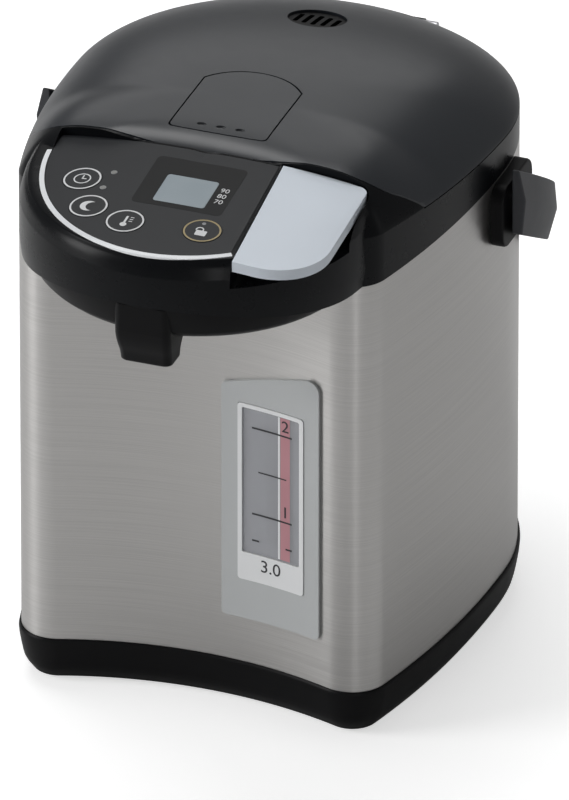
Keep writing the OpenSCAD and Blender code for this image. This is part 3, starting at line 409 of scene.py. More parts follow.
class Surface:
    """A Principled material with room for procedural detail."""

    def __init__(self, name, color, rough, metal=0.0, **sockets):
        self.mat = bpy.data.materials.new(name)
        self.mat.use_nodes = True
        self.nodes, self.links = self.mat.node_tree.nodes, self.mat.node_tree.links
        self.bsdf = self.nodes["Principled BSDF"]
        self.bsdf.inputs["Base Color"].default_value = (*color, 1)
        self.bsdf.inputs["Roughness"].default_value = rough
        self.bsdf.inputs["Metallic"].default_value = metal
        for key, value in sockets.items():
            self.bsdf.inputs[key.replace("_", " ")].default_value = value
        self.coord = self.nodes.new("ShaderNodeTexCoord").outputs["Object"]

    def noise(self, scale, stretch=(1, 1, 1), detail=4.0):
        m = self.nodes.new("ShaderNodeMapping")
        m.inputs["Scale"].default_value = stretch
        t = self.nodes.new("ShaderNodeTexNoise")
        t.inputs["Scale"].default_value = scale
        t.inputs["Detail"].default_value = detail
        self.links.new(self.coord, m.inputs["Vector"])
        self.links.new(m.outputs["Vector"], t.inputs["Vector"])
        return t.outputs["Fac"]

    def spread(self, source, lo, hi):
        """A socket that runs from lo to hi as the noise does."""
        r = self.nodes.new("ShaderNodeMapRange")
        r.inputs["From Min"].default_value, r.inputs["From Max"].default_value = NOISE_LOW, NOISE_HIGH
        r.inputs["To Min"].default_value, r.inputs["To Max"].default_value = lo, hi
        self.links.new(source, r.inputs["Value"])
        return r.outputs["Result"]

    def tint(self, source, a, b):
        r = self.nodes.new("ShaderNodeValToRGB")
        low, high = r.color_ramp.elements
        low.position, high.position = TINT_LOW, TINT_HIGH
        low.color, high.color = (*a, 1), (*b, 1)
        self.links.new(source, r.inputs["Fac"])
        self.links.new(r.outputs["Color"], self.bsdf.inputs["Base Color"])
        return self

    def rough(self, source, lo, hi):
        self.links.new(self.spread(source, lo, hi), self.bsdf.inputs["Roughness"])
        return self

    def bump(self, source, height, strength=1.0):
        b = self.nodes.new("ShaderNodeBump")
        b.inputs["Distance"].default_value = height
        b.inputs["Strength"].default_value = strength
        self.links.new(source, b.inputs["Height"])
        self.links.new(b.outputs["Normal"], self.bsdf.inputs["Normal"])
        return self


def shade(color, f):
    return tuple(c * f for c in color)


def plastic(name, color, rough, grain=2600.0, height=0.00002, vary=0.12, **sockets):
    """Moulded plastic: fine spark grain, faint cloudiness in tone and gloss."""
    s = Surface(name, color, rough, **sockets)
    cloud = s.noise(9.0, detail=3.0)
    s.tint(cloud, shade(color, 1 - vary), shade(color, 1 + vary))
    s.rough(s.noise(120.0), max(rough - GLOSS_VARY, LEAST_ROUGH), rough + GLOSS_VARY)
    return s.bump(s.noise(grain, detail=2.0), height).mat


def brushed(name, color, rough, stretch, height=0.00001, vary=0.07, **sockets):
    s = Surface(name, color, rough, 1.0, **sockets)
    lines = s.noise(1.0, stretch, 6.0)
    s.tint(lines, shade(color, 1 - vary), shade(color, 1 + vary))
    s.rough(lines, rough - 0.05, rough + 0.06)
    return s.bump(lines, height, 0.6).mat


M = {
    "steel": brushed("steel_brushed", (0.57, 0.56, 0.548), 0.33, (14, 14, 2600), 0.000012,
                     Anisotropic=0.7, Anisotropic_Rotation=0.25),
    "black_gloss": plastic("plastic_black_gloss", (0.004, 0.0045, 0.0055), 0.28, 900.0, 0.000003,
                           Specular_IOR_Level=0.14),
    "lid_gloss": plastic("plastic_lid", (0.016, 0.019, 0.024), 0.33, 900.0, 0.000003, Specular_IOR_Level=0.6),
    "black_satin": plastic("plastic_black_satin", (0.0045, 0.0045, 0.005), 0.42, 1500.0, 0.00001,
                           Specular_IOR_Level=0.12),
    "panel_dark": plastic("panel_film", (0.014, 0.0155, 0.018), 0.45, 3000.0, 0.00001, 0.05,
                          Specular_IOR_Level=0.3),
    "strip_white": plastic("plastic_white_strip", (0.84, 0.86, 0.88), 0.25, 900.0, 0.000003, 0.03),
    "silver_paint": plastic("paint_silver", (0.62, 0.67, 0.73), 0.36, 4200.0, 0.000006, 0.04, Metallic=0.35),
    "gauge_grey": plastic("plastic_gauge_grey", (0.48, 0.495, 0.50), 0.42, 2400.0, 0.00001, 0.04),
    "gauge_white": plastic("plastic_gauge_pale", (0.78, 0.79, 0.80), 0.36, 2400.0, 0.00001, 0.03),
    "stainless": brushed("steel_pot", (0.58, 0.57, 0.56), 0.22, (30, 30, 900)),
    "rubber_dark": plastic("rubber_feet", (0.02, 0.02, 0.02), 0.8, 700.0, 0.00006),
    "silicone": plastic("silicone_grey", (0.55, 0.55, 0.52), 0.5, 900.0, 0.00002),
    "board_green": plastic("board_green", (0.02, 0.14, 0.06), 0.4, 500.0, 0.00003),
    "lamp": plastic("lamp_lens", (0.28, 0.28, 0.27), 0.25, 900.0, 0.000005),
    "heater": plastic("heater_cast", (0.42, 0.39, 0.35), 0.55, 500.0, 0.00006, Metallic=0.8),
    "pump_plastic": plastic("pump_plastic", (0.62, 0.62, 0.6), 0.45),
    "impeller_blue": plastic("impeller_blue", (0.06, 0.1, 0.35), 0.4),
    "motor_steel": brushed("steel_zinc", (0.5, 0.5, 0.52), 0.35, (200, 200, 200), 0.00001, 0.12),
    "handle_grey": plastic("plastic_handle", (0.032, 0.034, 0.04), 0.5, 1500.0, 0.00003, 0.14),
    "ink_white": plastic("ink_white", (0.74, 0.75, 0.76), 0.4, 2000.0, 0.000004, 0.03),
    "ink_gold": plastic("ink_gold", (0.36, 0.29, 0.15), 0.35, 2000.0, 0.000004, 0.05, Metallic=0.3),
    "ink_dark": plastic("ink_dark", (0.02, 0.02, 0.024), 0.45, 2000.0, 0.000004, 0.05),
    "ink_grey": plastic("ink_grey", (0.28, 0.29, 0.30), 0.4, 2000.0, 0.000004, 0.04),
    "bezel": plastic("bezel_film", (0.004, 0.0045, 0.005), 0.4, 3000.0, 0.000006, 0.06,
                     Specular_IOR_Level=0.2),
    "band_pink": plastic("gauge_band", (0.5, 0.24, 0.27), 0.4, 600.0, 0.000005, 0.12),
}


def lcd_material():
    s = Surface("lcd_film", (0.40, 0.45, 0.44), 0.32)
    s.tint(s.noise(30.0, detail=2.0), (0.28, 0.335, 0.37), (0.33, 0.385, 0.42))
    return s.bump(s.noise(6000.0, detail=1.0), 0.000003).mat


def clear_material(name, color, alpha, rough):
    s = Surface(name, color, rough, IOR=1.46)
    s.bsdf.inputs["Alpha"].default_value = alpha
    s.tint(s.noise(40.0, (1, 1, 0.2), 2.0), shade(color, 0.94), shade(color, 1.04))
    return s.bump(s.noise(500.0, detail=2.0), 0.000004).mat


M["lcd_glass"] = lcd_material()
M["clear_glass"] = clear_material("gauge_clear", (0.5, 0.51, 0.54), 0.55, 0.2)
M["scale_print"] = plastic("gauge_scale_print", (0.5, 0.51, 0.54), 0.4, 900.0, 0.000005, 0.05)


def wear(ob, slot, body, *nodes, material=None):
    """Gives a piece its finish, puts it under its CAD body, and hides the CAD nodes that it stands for."""
    ob.data.materials.clear()
    ob.data.materials.append(M[material or slot])
    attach(ob, body)
    if nodes:
        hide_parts(*nodes)
    return ob


for row in frame["record"]["subparts"]:
    ob = frame["nodes"].get(row["node"])
    if ob is not None and ob.type == "MESH":
        for s in ob.material_slots:
            s.material = M[row["material_slot"]]


# ---- Casing and base ---------------------------------------------------------------
def ringed(name, rows):
    """A solid of the casing's plan through rows of (set in by, height)."""
    return skin(name, [[(x, y, z) for x, y in outline(off)] for off, z in rows])


shell = ringed("shell", [(0.0, BASE_H - 1)] + [(0.0, z) for z in range(30, 226, 12)] + [(0.0, SHELL_TOP)])
shell_core = ringed("core", [(1.0, 0.0), (1.0, ABOVE)])
minus(shell, shell_core, block(14.1, 55.1, -30, 20, 52, 165.5))
wear(soften(shell, 0), "steel", "pot", "outer_shell")

base = ringed("base", [(6.2, 2.0), (5.2, 2.25), (3.6, 4.4), (2.2, 6.4), (1.2, 8.4), (0.5, 11.0),
                       (-0.25, 15.0), (-0.9, 19.0), (-1.2, 22.2), (-1.1, 23.2), (-0.6, 23.8), (0.4, BASE_H)])
minus(base, ringed("hollow", [(8.0, 0.0), (8.0, 4.0), (4.6, 4.01), (4.6, 30.0)]))
wear(soften(base, 0), "black_satin", "pot", "base_ring")

# ---- Collar and nose ----------------------------------------------------------------
collar = top_form(name="collar")
nose = both(nose_form(), block(-200, 200, -362, 38, 100, 400))
plus(collar, nose, ringed("deck", [(1.3, 225.0), (1.3, DECK_TOP)]))
lid_room = both(ringed("room", [(2.2, DECK_TOP), (2.2, ABOVE)]), lid_block(-LID_GAP))
over_seam = minus(lid_block(-LID_GAP, 228.0), below_seam(-LID_GAP))
minus(collar, lid_room, over_seam, disc(0, AXIS_Y, 78, 200, ABOVE, 96),
      rod_x(-HALF_BARREL - 1, HALF_BARREL + 1, HINGE_Y, HINGE_Z, HINGE_R + 0.4),
      block(-9, 9, 4.4, 12.4, 251.6, 256.4))
minus(collar, above_nose(PANEL_T, panel_plan(0.25)), above_nose(PANEL_T, strip_plan(0.05)),
      above_nose(LEVER["well"], lever_plan(0.9)))
lugs = [both(rod_x(22 * s, 28 * s, HINGE_Y, HINGE_Z, HINGE_R), top_form()) for s in (1, -1)]
feet = [block(min(22 * s, 28 * s), max(22 * s, 28 * s), HINGE_Y - 6, HINGE_Y + 8, DECK_TOP - 1, HINGE_Z - 1)
        for s in (1, -1)]
plus(collar, *lugs, *feet)
wear(soften(collar, 0.35), "black_gloss", "pot", "top_housing")


# ---- Chin and spout -----------------------------------------------------------------
def chin_ring(r, z, on_rim=False):
    return [(x, y, rim(y) + z if on_rim else z) for x, y in nose_plan(r)]


def chin_form():
    low = [(60.5, 219.5), (63.2, 219.9), (66.2, 220.8), (69.6, 222.6), (72.0, 224.6), (73.7, 226.6)]
    rings = [chin_ring(r, z) for r, z in low]
    rings += [chin_ring(NOSE_R - 2.6, 0.0, True), chin_ring(NOSE_R - 3.2, 3.0, True)]
    return skin("chin", rings)


chin = minus(chin_form(), ringed("wall", [(-0.2, 0.0), (-0.2, ABOVE)]))
wear(soften(chin, 0), "black_satin", "pot", "chin_housing")


SPOUT_CORNER, LIP_END = 3.5, 207.6


def spout_ring(w, y0, y1, z):
    return [(x, y, z) for x, y in round_rect(0, (y0 + y1) / 2, w, y1 - y0, SPOUT_CORNER)]


spout_rows = [(24.0, -71.0, -56.5, 207.0), (24.4, -72.4, -55.5, 212.0), (25.4, -74.4, -53.0, 217.0),
              (26.0, -75.5, -48.0, 221.0), (26.0, -76.0, -46.0, 225.0)]
rows = spline(spout_rows, 5) + [(26.0, -76.0, -46.0, 238.0)]
lip = [(22.4, -70.2, -57.3, 207.0), (23.4, -70.7, -56.8, 207.2)]
spout = skin("spout", [spout_ring(*r) for r in lip + [r for r in rows if r[3] > LIP_END]])
minus(spout, disc(0, -63, 4.8, 200, 240))
wear(soften(spout, 0.3), "black_satin", "pot", "spout")

# ---- Panel, strip, keys and display -----------------------------------------------------
panel = on_nose("panel", panel_plan(0.0), 0.0, PANEL_T)
minus(panel, *[disc(*p, KEY_R + 0.25, UNDER_KEYS, ABOVE) for p in KEYS.values()],
      prism(LCD_HOLE, UNDER_KEYS, ABOVE))
wear(soften(panel, 0.12), "panel_dark", "pot", "control_panel")
strip = on_nose("strip", strip_plan(0.0), 0.3, PANEL_T)
wear(soften(strip, 0.25), "strip_white", "pot", "accent_strip")
lcd = on_nose("lcd", round_rect(*LCD_C, *LCD_SIZE, LCD_CORNER), 0.02, PANEL_T)
wear(soften(lcd, 0.1), "lcd_glass", "pot", "lcd_window")


RING_SIDES, RING_DEPTH = 72, 0.3


def ring_on_nose(name, c, r0, r1, proud, a0=0, a1=360):
    """A ring between r0 and r1, or the part of one from a0 to a1."""
    if a1 - a0 >= 360:
        hole = disc(*c, r0, UNDER_NOSE - 5, ABOVE + 5, RING_SIDES)
        ob = both(minus(disc(*c, r1, UNDER_NOSE, ABOVE, RING_SIDES), hole), nose_form(proud))
        ob.name = name
        return minus(ob, nose_slab(proud - RING_DEPTH))
    outer, inner = arc(*c, r1, a0, a1, RING_SIDES), arc(*c, r0, a0, a1, RING_SIDES)
    return on_nose(name, outer + inner[::-1], proud, RING_DEPTH)


# The caps end above the board's lamps, with room for the stroke
CAP_UNDER = 257.5
for node, c in KEYS.items():
    cap = disc(*c, KEY_R, CAP_UNDER, ABOVE)
    cap.name = "cap_" + node
    both(cap, nose_form(0.15))
    wear(soften(cap, 0.3), "panel_dark", node, node)
    mark = ring_on_nose("ring_" + node, c, 7.6, 8.4, 0.22)
    wear(soften(mark, 0), "strip_white", node, material="ink_gold" if node == "key_unlock" else "ink_white")

bezel_plan = round_rect(2.0, -19.5, 42.0, 37.0, 2.5)
bezel = on_nose("bezel", bezel_plan, 0.05, 0.1)
minus(bezel, prism(LCD_HOLE, UNDER_KEYS, ABOVE))
wear(soften(bezel, 0), "panel_dark", "pot", material="bezel")


GLYPH_PROUD = 0.2


def glyph(name, plan, body, material):
    ob = on_nose(name, plan, GLYPH_PROUD, GLYPH_PROUD)
    return wear(soften(ob, 0), "strip_white", body, material=material)


def bar(x0, y0, x1, y1, w):
    """The plan of a straight bar of width w."""
    d = math.dist((x0, y0), (x1, y1))
    ux, uy = (x1 - x0) / d * w / 2, (y1 - y0) / d * w / 2
    return [(x0 + uy, y0 - ux), (x1 + uy, y1 - ux), (x1 - uy, y1 + ux), (x0 - uy, y0 + ux)]


# Plain pictograms: a clock, a moon, a thermometer and a padlock
tx, ty = KEYS["key_timer"]
wear(soften(ring_on_nose("clock_face", (tx, ty), 3.3, 3.9, GLYPH_PROUD), 0), "strip_white", "key_timer",
     material="ink_white")
glyph("clock_hand_long", bar(tx, ty - 0.2, tx, ty + 2.6, 0.6), "key_timer", "ink_white")
glyph("clock_hand_short", bar(tx - 0.2, ty, tx + 1.9, ty, 0.6), "key_timer", "ink_white")
sx, sy = KEYS["key_saving"]
glyph("moon", arc(sx, sy, 3.8, 60, 300, 32) + arc(sx + 2.2, sy, 3.31, 276, 84, 28), "key_saving", "ink_white")
hx, hy = KEYS["key_temp"]
glyph("thermometer_bulb", arc(hx, hy - 2.6, 1.5, 0, 360, 28)[:-1], "key_temp", "ink_white")
glyph("thermometer_stem", bar(hx, hy - 2.0, hx, hy + 3.8, 1.0), "key_temp", "ink_white")
for i in range(3):
    glyph("thermometer_tick_%d" % i, bar(hx + 1.6, hy + 0.2 + 1.5 * i, hx + 3.2, hy + 0.2 + 1.5 * i, 0.45),
          "key_temp", "ink_white")
ux, uy = KEYS["key_unlock"]
glyph("padlock_body", round_rect(ux, uy - 2.0, 5.0, 3.8, 0.5, 4), "key_unlock", "ink_white")
wear(soften(ring_on_nose("padlock_bow", (ux - 1.2, uy + 0.4), 1.3, 1.9, GLYPH_PROUD, -20, 200), 0),
     "strip_white", "key_unlock", material="ink_white")
glyph("unlock_led", arc(ux - 1.0, uy + 5.2, 0.9, 0, 360, 24)[:-1], "key_unlock", "ink_grey")


def digits(name, text, size, place, body, material, thick=0.12):
    """Plain numbers: place turns a flat point into one on the part."""
    curve = bpy.data.curves.new(name, "FONT")
    curve.body, curve.size, curve.align_x, curve.align_y = text, size, "CENTER", "CENTER"
    curve.resolution_u = 6
    text_ob = bpy.data.objects.new(name, curve)
    bpy.context.scene.collection.objects.link(text_ob)
    graph = bpy.context.evaluated_depsgraph_get()
    mesh = bpy.data.meshes.new_from_object(text_ob.evaluated_get(graph))
    drop(text_ob)
    ob = bpy.data.objects.new(name, mesh)
    bpy.context.scene.collection.objects.link(ob)
    for v in mesh.vertices:
        x, y, z = place(v.co.x, v.co.y)
        v.co = (x * MM, (y - MID_Y) * MM, z * MM)
    mesh.update()
    solid = ob.modifiers.new("thick", "SOLIDIFY")
    solid.thickness, solid.offset = thick * MM, -1.0
    settle(ob)
    return wear(ob, "strip_white", body, material=material)


def on_panel(cx, cy):
    def place(x, y):
        return cx + x, cy + y, nose_z(cx + x, cy + y) + 0.13
    return place


LEVEL_X, LEVEL_Y, LEVEL_STEP = 18.4, -19.0, 4.4
for i, label in enumerate(("90", "80", "70")):
    digits("level_%s" % label, label, 4.2, on_panel(LEVEL_X, LEVEL_Y - LEVEL_STEP * i), "pot", "ink_white")
lamp_rings = [ring_on_nose("lamp_ring_%d" % i, p, 1.0001, 1.45, 0.12) for i, p in enumerate(LAMPS)]
for ob in lamp_rings:
    wear(soften(ob, 0), "lamp", "pot", material="ink_grey")

# ---- Dispensing lever ---------------------------------------------------------------------
LEVER_PROUD, LEVER_T, AXLE_Y, AXLE_Z = 0.8, 5.0, 1.0, 262.0
lever = prism(lever_plan(), UNDER_KEYS, ABOVE, "lever_plate")
both(lever, nose_slab(LEVER_PROUD))
minus(lever, nose_slab(LEVER_PROUD - LEVER_T))
soften(lever, 1.1, 40, 4)
settle(lever)
plus(lever, rod_x(LEVER["x0"] + 6, LEVER["x1"] - 6, AXLE_Y, AXLE_Z, 3.4),
     block(LEVER["x0"] + 8, LEVER["x1"] - 10, -0.5, 2.5, 262.5, 266.5))
wear(soften(lever, 0), "silver_paint", "lever", "dispense_lever")
pin = rod_x(LEVER["x0"] - 3.5, LEVER["x1"] + 0.5, AXLE_Y, AXLE_Z, 1.5)
pin.name = "lever_axle"
wear(soften(pin, 0.2), "motor_steel", "pot", "dispense_pin")

# ---- Lid ------------------------------------------------------------------------------------
lid = both(top_form(name="lid"), lid_block(0.0))
barrel = both(rod_x(-HALF_BARREL, HALF_BARREL, HINGE_Y, HINGE_Z, HINGE_R - 0.1), top_form(0.3))
hollow = both(top_form(COVER_T, 0.3), lid_block(COVER_T))
minus(lid, below_seam(), hollow)
plus(lid, barrel)
minus(lid, *[rod_x(22 * s - 0.5 if s > 0 else -28.5, 28.5 if s > 0 else -21.5, HINGE_Y, HINGE_Z, HINGE_R + 1)
             for s in (1, -1)])
TONGUE_W, TONGUE_Y0, TONGUE_Y1, TONGUE_ARCH, TONGUE_CORNER = 45.0, 20.5, 66.0, 12.0, 2.2


def tongue_plan(grow=0.0):
    w, corner = TONGUE_W / 2 + grow, TONGUE_CORNER
    r = (w * w + TONGUE_ARCH ** 2) / (2 * TONGUE_ARCH)
    turn = math.degrees(math.asin(w / r))
    y0 = TONGUE_Y0 - grow
    return (arc(-w + corner, y0 + corner, corner, 180, 270, 8)
            + arc(w - corner, y0 + corner, corner, 270, 360, 8)
            + arc(0, TONGUE_Y1 + TONGUE_ARCH - r + grow, r, 90 - turn, 90 + turn, 40))


VENT_C, VENT_R, TONGUE_UNDER = (0.0, 149.0), 13.3, 250.0
minus(lid, disc(*VENT_C, VENT_R, UNDER_KEYS, ABOVE, 72), prism(tongue_plan(0.7), TONGUE_UNDER, ABOVE))
wear(soften(lid, 0.35), "lid_gloss", "lid", "lid_cover")

tongue = prism(tongue_plan(), TONGUE_UNDER, ABOVE, "tongue")
both(tongue, top_form())
minus(tongue, top_form(0.0, 2.6))


def dimple_ring(cx, b):
    """One ring of a finger dimple, b degrees up from its lowest point."""
    out, up = math.sin(math.radians(b)), math.cos(math.radians(b))
    return [(cx + 2.3 * out * math.cos(math.radians(a)), 25.5 + 1.3 * out * math.sin(math.radians(a)),
             DOME_TOP - 0.35 - up) for a in range(0, 360, 12)]


for i in (-1, 0, 1):
    minus(tongue, skin("tool", [dimple_ring(9.0 * i, b) for b in range(10, 180, 10)]))
plus(tongue, both(rod_x(-TONGUE_W / 2, TONGUE_W / 2, 70.0, 272.2, 2.3), top_form(0.0, 0.1)),
     block(-5, 5, 32.5, 35.5, 257.0, 273.8))
wear(soften(tongue, 0.45), "lid_gloss", "lid_lever", "lid_lever")

vent = both(disc(*VENT_C, VENT_R - 0.2, UNDER_KEYS, ABOVE, 72), top_form(0.0, 1.2))
vent.name = "vent"
minus(vent, top_form(0.0, 3.6))
slots = [round_rect(VENT_C[0] + 4.4 * i, VENT_C[1], 2.3, 15.0 - 1.6 * abs(i), 1.1) for i in range(-2, 3)]
minus(vent, *[prism(plan, UNDER_KEYS, ABOVE) for plan in slots])
wear(soften(vent, 0.25), "black_satin", "lid", "steam_vent")

# ---- Level gauge ----------------------------------------------------------------------------
# The plate's middle, width, foot, top and thickness
GX, GW, G0, G1, GT = 34.6, 49.0, 47.0, 170.5, 1.6
TOP_SLANT = 0.24


def upright(plan, y0=-50.0, y1=10.0):
    """A plan in X and Z, pulled through the front wall."""
    verts = [(x, y0, z) for x, z in plan] + [(x, y1, z) for x, z in plan]
    return make("tool", verts, [tuple(reversed(f)) for f in tube_faces(len(plan), 2)])


def on_front(name, plan, off, *holes):
    """A plan laid on the casing's front, out to off."""
    ob = upright(plan)
    ob.name = name
    both(ob, ringed("wall", [(off, 10.0), (off, 220.0)]))
    minus(ob, ringed("inside", [(0.0, 0.0), (0.0, 240.0)]), *[upright(h, -60.0, 40.0) for h in holes])
    return ob


def plate_plan():
    x0, x1, r, big = GX - GW / 2, GX + GW / 2, 2.5, 5
    rise, tilt = TOP_SLANT * GW / 2, math.degrees(math.atan(TOP_SLANT))
    return (arc(x0 + r, G0 + r, r, 180, 270, 8) + arc(x1 - r, G0 + r, r, 270, 360, 8)
            + arc(x1 - big, G1 + rise - big, big, 0, 90 + tilt, 12)
            + arc(x0 + r, G1 - rise - r, r, 90 + tilt, 180, 8))


def upright_rect(w, z0, z1, r):
    return round_rect(GX, (z0 + z1) / 2, w, z1 - z0, r)


plate = on_front("gauge_plate_skin", plate_plan(), -GT, upright_rect(33.2, 66.9, 156.1, 1.3))
wear(soften(plate, 0.45, 38, 3), "gauge_grey", "pot", "gauge_plate")
bar_frame = on_front("gauge_frame_skin", upright_rect(33.0, 67, 156, 1.6), -GT - 0.5,
                     upright_rect(28.8, 80.9, 154.1, 0.9))
wear(soften(bar_frame, 0.35, 38, 3), "gauge_white", "pot", "gauge_frame")
FACE = -GT + 0.2
pane = on_front("gauge_pane", upright_rect(28.6, 81, 154, 0.8), FACE)
wear(soften(pane, 0), "clear_glass", "pot", "gauge_window")


def wall_y(x, off):
    """Where the casing's hollow front lies at x, set in by off."""
    r = SCOOP_R + off
    return -SCOOP_R + math.sqrt(r * r - x * x)


def mark(name, x0, x1, z0, z1, material="ink_dark", proud=0.12):
    """A flat print between x0 and x1 and between z0 and z1, bent to the pane."""
    steps = 12
    verts, faces = [], []
    for i in range(steps + 1):
        x = x0 + (x1 - x0) * i / steps
        y_out, y_in = wall_y(x, FACE) - proud, wall_y(x, FACE) + 0.2
        verts += [(x, y_out, z0), (x, y_out, z1), (x, y_in, z1), (x, y_in, z0)]
    for i in range(steps):
        a, b = 4 * i, 4 * i + 4
        faces += [(a + k, b + k, b + (k + 1) % 4, a + (k + 1) % 4) for k in range(4)]
    faces += [(3, 2, 1, 0), tuple(4 * steps + k for k in range(4))]
    return wear(soften(make(name, verts, faces), 0), "gauge_white", "pot", material=material)


mark("band", GX + 4.6, GX + 9.4, 81.6, 153.4, "band_pink", 0.06)
mark("band_edge", GX + 3.4, GX + 4.3, 81.6, 153.4, "gauge_white", 0.06)
mark("litre_2", GX - 9.6, GX + 10.4, 144.0, 144.8)
mark("litre_1_5", GX - 6.5, GX + 7.6, 122.3, 122.9)
mark("litre_1", GX - 9.6, GX + 10.4, 100.6, 101.4)
mark("refill_left", GX - 9.6, GX - 6.2, 87.2, 88.0)
mark("refill_right", GX + 7.2, GX + 10.4, 87.2, 88.0)


def on_wall(cx, cz, off, proud):
    def place(x, z):
        return cx + x, wall_y(cx + x, off) - proud, cz + z
    return place


def front_digits(name, text, size, cx, cz, off, proud):
    return digits(name, text, size, on_wall(cx, cz, off, proud), "pot", "ink_dark", 0.08)


front_digits("number_2", "2", 8.0, GX + 7.0, 149.0, FACE, 0.2)
front_digits("number_1", "1", 8.0, GX + 7.0, 105.8, FACE, 0.2)
front_digits("number_3_0", "3.0", 8.6, GX - 0.2, 75.6, -GT - 0.5, 0.08)

# ---- Handle -----------------------------------------------------------------------------------
PIVOT_Y, PIVOT_Z, ARM_H, GRIP_H, TILT = AXIS_Y - 1.0, 212.0, 27.5, 24.0, math.radians(31)
EAR_X, EAR_L, EAR_H, ARM_IN, ARM_OUT = BODY_R + 6.0, 39, 31, 108.9, 115.5
GRIP_IN = (BACK_Y + 2 - PIVOT_Y + GRIP_H / 2 * math.sin(TILT)) / math.cos(TILT)
GRIP_OUT = GRIP_IN + 8.6
RIDGE_TOP, RIDGE_LOW, RIDGE_H = 3.2, 1.6, 1.5
BOW_POWER, BOW_STEPS, ARM_FRONT = 0.9, 45, -14.0


def handle_section(a, b, h, front=False):
    """The handle cut across from a to b in its own plane, and turned down to where it rests."""
    t = math.dist(a, b)
    ux, uy = (b[0] - a[0]) / t, (b[1] - a[1]) / t
    out = []
    for across, up in ((0, -h), (0, h), (t - RIDGE_TOP, h), (t, RIDGE_H), (t - RIDGE_LOW, -h)):
        x, d = a[0] + across * ux, a[1] + across * uy
        if front:
            d = (d - up * math.sin(TILT)) / math.cos(TILT)
        out.append((x, PIVOT_Y + d * math.cos(TILT) + up * math.sin(TILT),
                    PIVOT_Z - d * math.sin(TILT) + up * math.cos(TILT)))
    return out


def bow(a, rx, ry):
    """A point of the squared ellipse that the handle follows."""
    return rx * math.cos(a) ** BOW_POWER, ry * math.sin(a) ** BOW_POWER


def handle_skin():
    half = [handle_section((ARM_IN, ARM_FRONT), (ARM_OUT, ARM_FRONT), ARM_H / 2, True)]
    for i in range(BOW_STEPS + 1):
        turn = math.radians(90.0) * (i / BOW_STEPS) ** 1.15
        h = (ARM_H + (GRIP_H - ARM_H) * min(math.degrees(turn) / 45, 1)) / 2
        half.append(handle_section(bow(turn, ARM_IN, GRIP_IN), bow(turn, ARM_OUT, GRIP_OUT), h))
    half[-1] = [(0.0, y, z) for _, y, z in half[-1]]
    rows = half + [[(-x, y, z) for x, y, z in r] for r in reversed(half[:-1])]
    return make("handle_grip", [p for r in rows for p in r], tube_faces(len(rows[0]), len(rows)))


wear(soften(handle_skin(), 0.7, 14, 3), "handle_grey", "handle", "handle")


def ear(side):
    """The pad that carries one arm, side 1 on the right and -1 on the left."""
    plan = round_rect(PIVOT_Y, PIVOT_Z, EAR_L, EAR_H, 8, 12)
    rows = ((BODY_R - 8, 0.0), (EAR_X - 1.2, 0.0), (EAR_X - 0.35, 0.35), (EAR_X, 1.2))
    verts = []
    for x, inset in rows:
        ky, kz = 1 - inset / (EAR_L / 2), 1 - inset / (EAR_H / 2)
        verts += [(x * side, PIVOT_Y + (y - PIVOT_Y) * ky, PIVOT_Z + (z - PIVOT_Z) * kz) for y, z in plan]
    faces = tube_faces(len(plan), len(rows))
    if side < 0:
        faces = [tuple(reversed(f)) for f in faces]
    name = "ear_right" if side > 0 else "ear_left"
    ob = minus(make(name, verts, faces), ringed("wall", [(0.0, 0.0), (0.0, ABOVE)]))
    return wear(soften(ob, 0), "black_satin", "pot", "handle_" + name)


ear(1)
ear(-1)

# ---- Floor, light and camera --------------------------------------------------------------------
# The camera stands far off with a long lens, as the photo has hardly any perspective
EYE_WAY = Vector((0.30068, -0.81986, 0.48726)).normalized()
TARGET = Vector((0.00975, 0.00151, 0.11189))
FAR, LENS = 11.0, 1114.45
cam_data = bpy.data.cameras.new("camera")
cam = bpy.data.objects.new("camera", cam_data)
bpy.context.scene.collection.objects.link(cam)
cam.location = TARGET + EYE_WAY * FAR
cam.rotation_euler = EYE_WAY.to_track_quat("Z", "Y").to_euler()
cam_data.sensor_width = 36.0
cam_data.lens = LENS
cam_data.clip_start, cam_data.clip_end = 1.0, 60.0
bpy.context.scene.camera = cam


def camera_only(material, strength):
    """Adds a plain glow that only the camera sees, so that the ground renders white."""
    nodes, links = material.node_tree.nodes, material.node_tree.links
    out = nodes["Material Output"]
    surface = out.inputs["Surface"].links[0].from_socket
    glow, add = nodes.new("ShaderNodeEmission"), nodes.new("ShaderNodeAddShader")
    path = nodes.new("ShaderNodeLightPath")
    glow.inputs["Color"].default_value = (1, 1, 1, 1)
    m = nodes.new("ShaderNodeMath")
    m.operation = "MULTIPLY"
    m.inputs[1].default_value = strength
    links.new(path.outputs["Is Camera Ray"], m.inputs[0])
    links.new(m.outputs[0], glow.inputs["Strength"])
    links.new(surface, add.inputs[0])
    links.new(glow.outputs[0], add.inputs[1])
    links.new(add.outputs[0], out.inputs["Surface"])


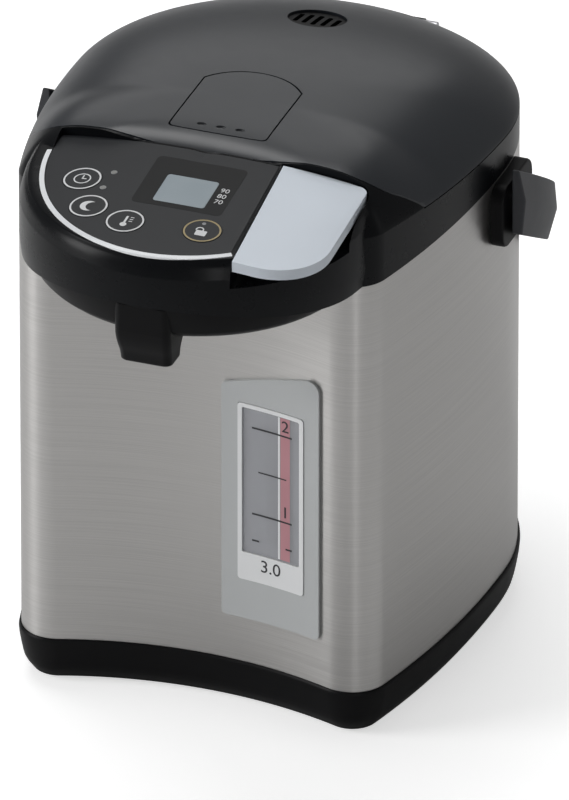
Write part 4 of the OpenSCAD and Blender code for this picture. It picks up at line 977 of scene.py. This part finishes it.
floor_surface = Surface("floor_pale", (0.86, 0.86, 0.86), 0.9)
floor_surface.tint(floor_surface.noise(3.0), (0.85, 0.85, 0.85), (0.87, 0.87, 0.87))
FLOOR_GLOW, FLOOR_R, FLOOR_SIDES = 0.58, 6, 96
camera_only(floor_surface.mat, FLOOR_GLOW)
floor_mesh = bpy.data.meshes.new("floor")
turns = [2 * math.pi * i / FLOOR_SIDES for i in range(FLOOR_SIDES)]
floor_mesh.from_pydata([(FLOOR_R * math.cos(a), FLOOR_R * math.sin(a), 0.0) for a in turns], [],
                       [tuple(range(FLOOR_SIDES))])
floor = bpy.data.objects.new("floor", floor_mesh)
bpy.context.scene.collection.objects.link(floor)
floor_mesh.materials.append(floor_surface.mat)

# The world lights the part gently, and the camera sees it as white
WORLD_LIGHT, WORLD_SEEN = 0.2, 1.0
world = bpy.data.worlds.new("studio")
bpy.context.scene.world = world
world.use_nodes = True
wn, wl = world.node_tree.nodes, world.node_tree.links
back = wn["Background"]
back.inputs["Color"].default_value = (1.0, 1.0, 1.0, 1)
path = wn.new("ShaderNodeLightPath")
pick = wn.new("ShaderNodeMapRange")
pick.inputs["To Min"].default_value = WORLD_LIGHT
pick.inputs["To Max"].default_value = WORLD_SEEN
wl.new(path.outputs["Is Camera Ray"], pick.inputs["Value"])
wl.new(pick.outputs["Result"], back.inputs["Strength"])


AIM = Vector((0.0, 0.0, 0.12))


def lamp(name, at, size, power):
    """A white area lamp that faces the part's middle."""
    data = bpy.data.lights.new(name, "AREA")
    data.shape, data.size, data.size_y = "RECTANGLE", size[0], size[1]
    data.energy = power
    ob = bpy.data.objects.new(name, data)
    bpy.context.scene.collection.objects.link(ob)
    ob.location = at
    ob.rotation_euler = (Vector(at) - AIM).to_track_quat("Z", "Y").to_euler()
    return ob


lamp("overhead", (-0.5, 0.6, 2.2), (1.5, 1.1), 19)
lamp("back_left", (-0.7, 2.1, 1.25), (1.5, 0.8), 3.4)
lamp("key_left", (-2.0, -1.3, 0.9), (1.0, 1.4), 31)
lamp("rim_right", (1.9, 0.6, 0.7), (0.3, 1.2), 0.7)
lamp("front_right", (1.1, -2.0, 0.5), (0.12, 1.2), 4)

view = bpy.context.scene.view_settings
view.view_transform = "Standard"
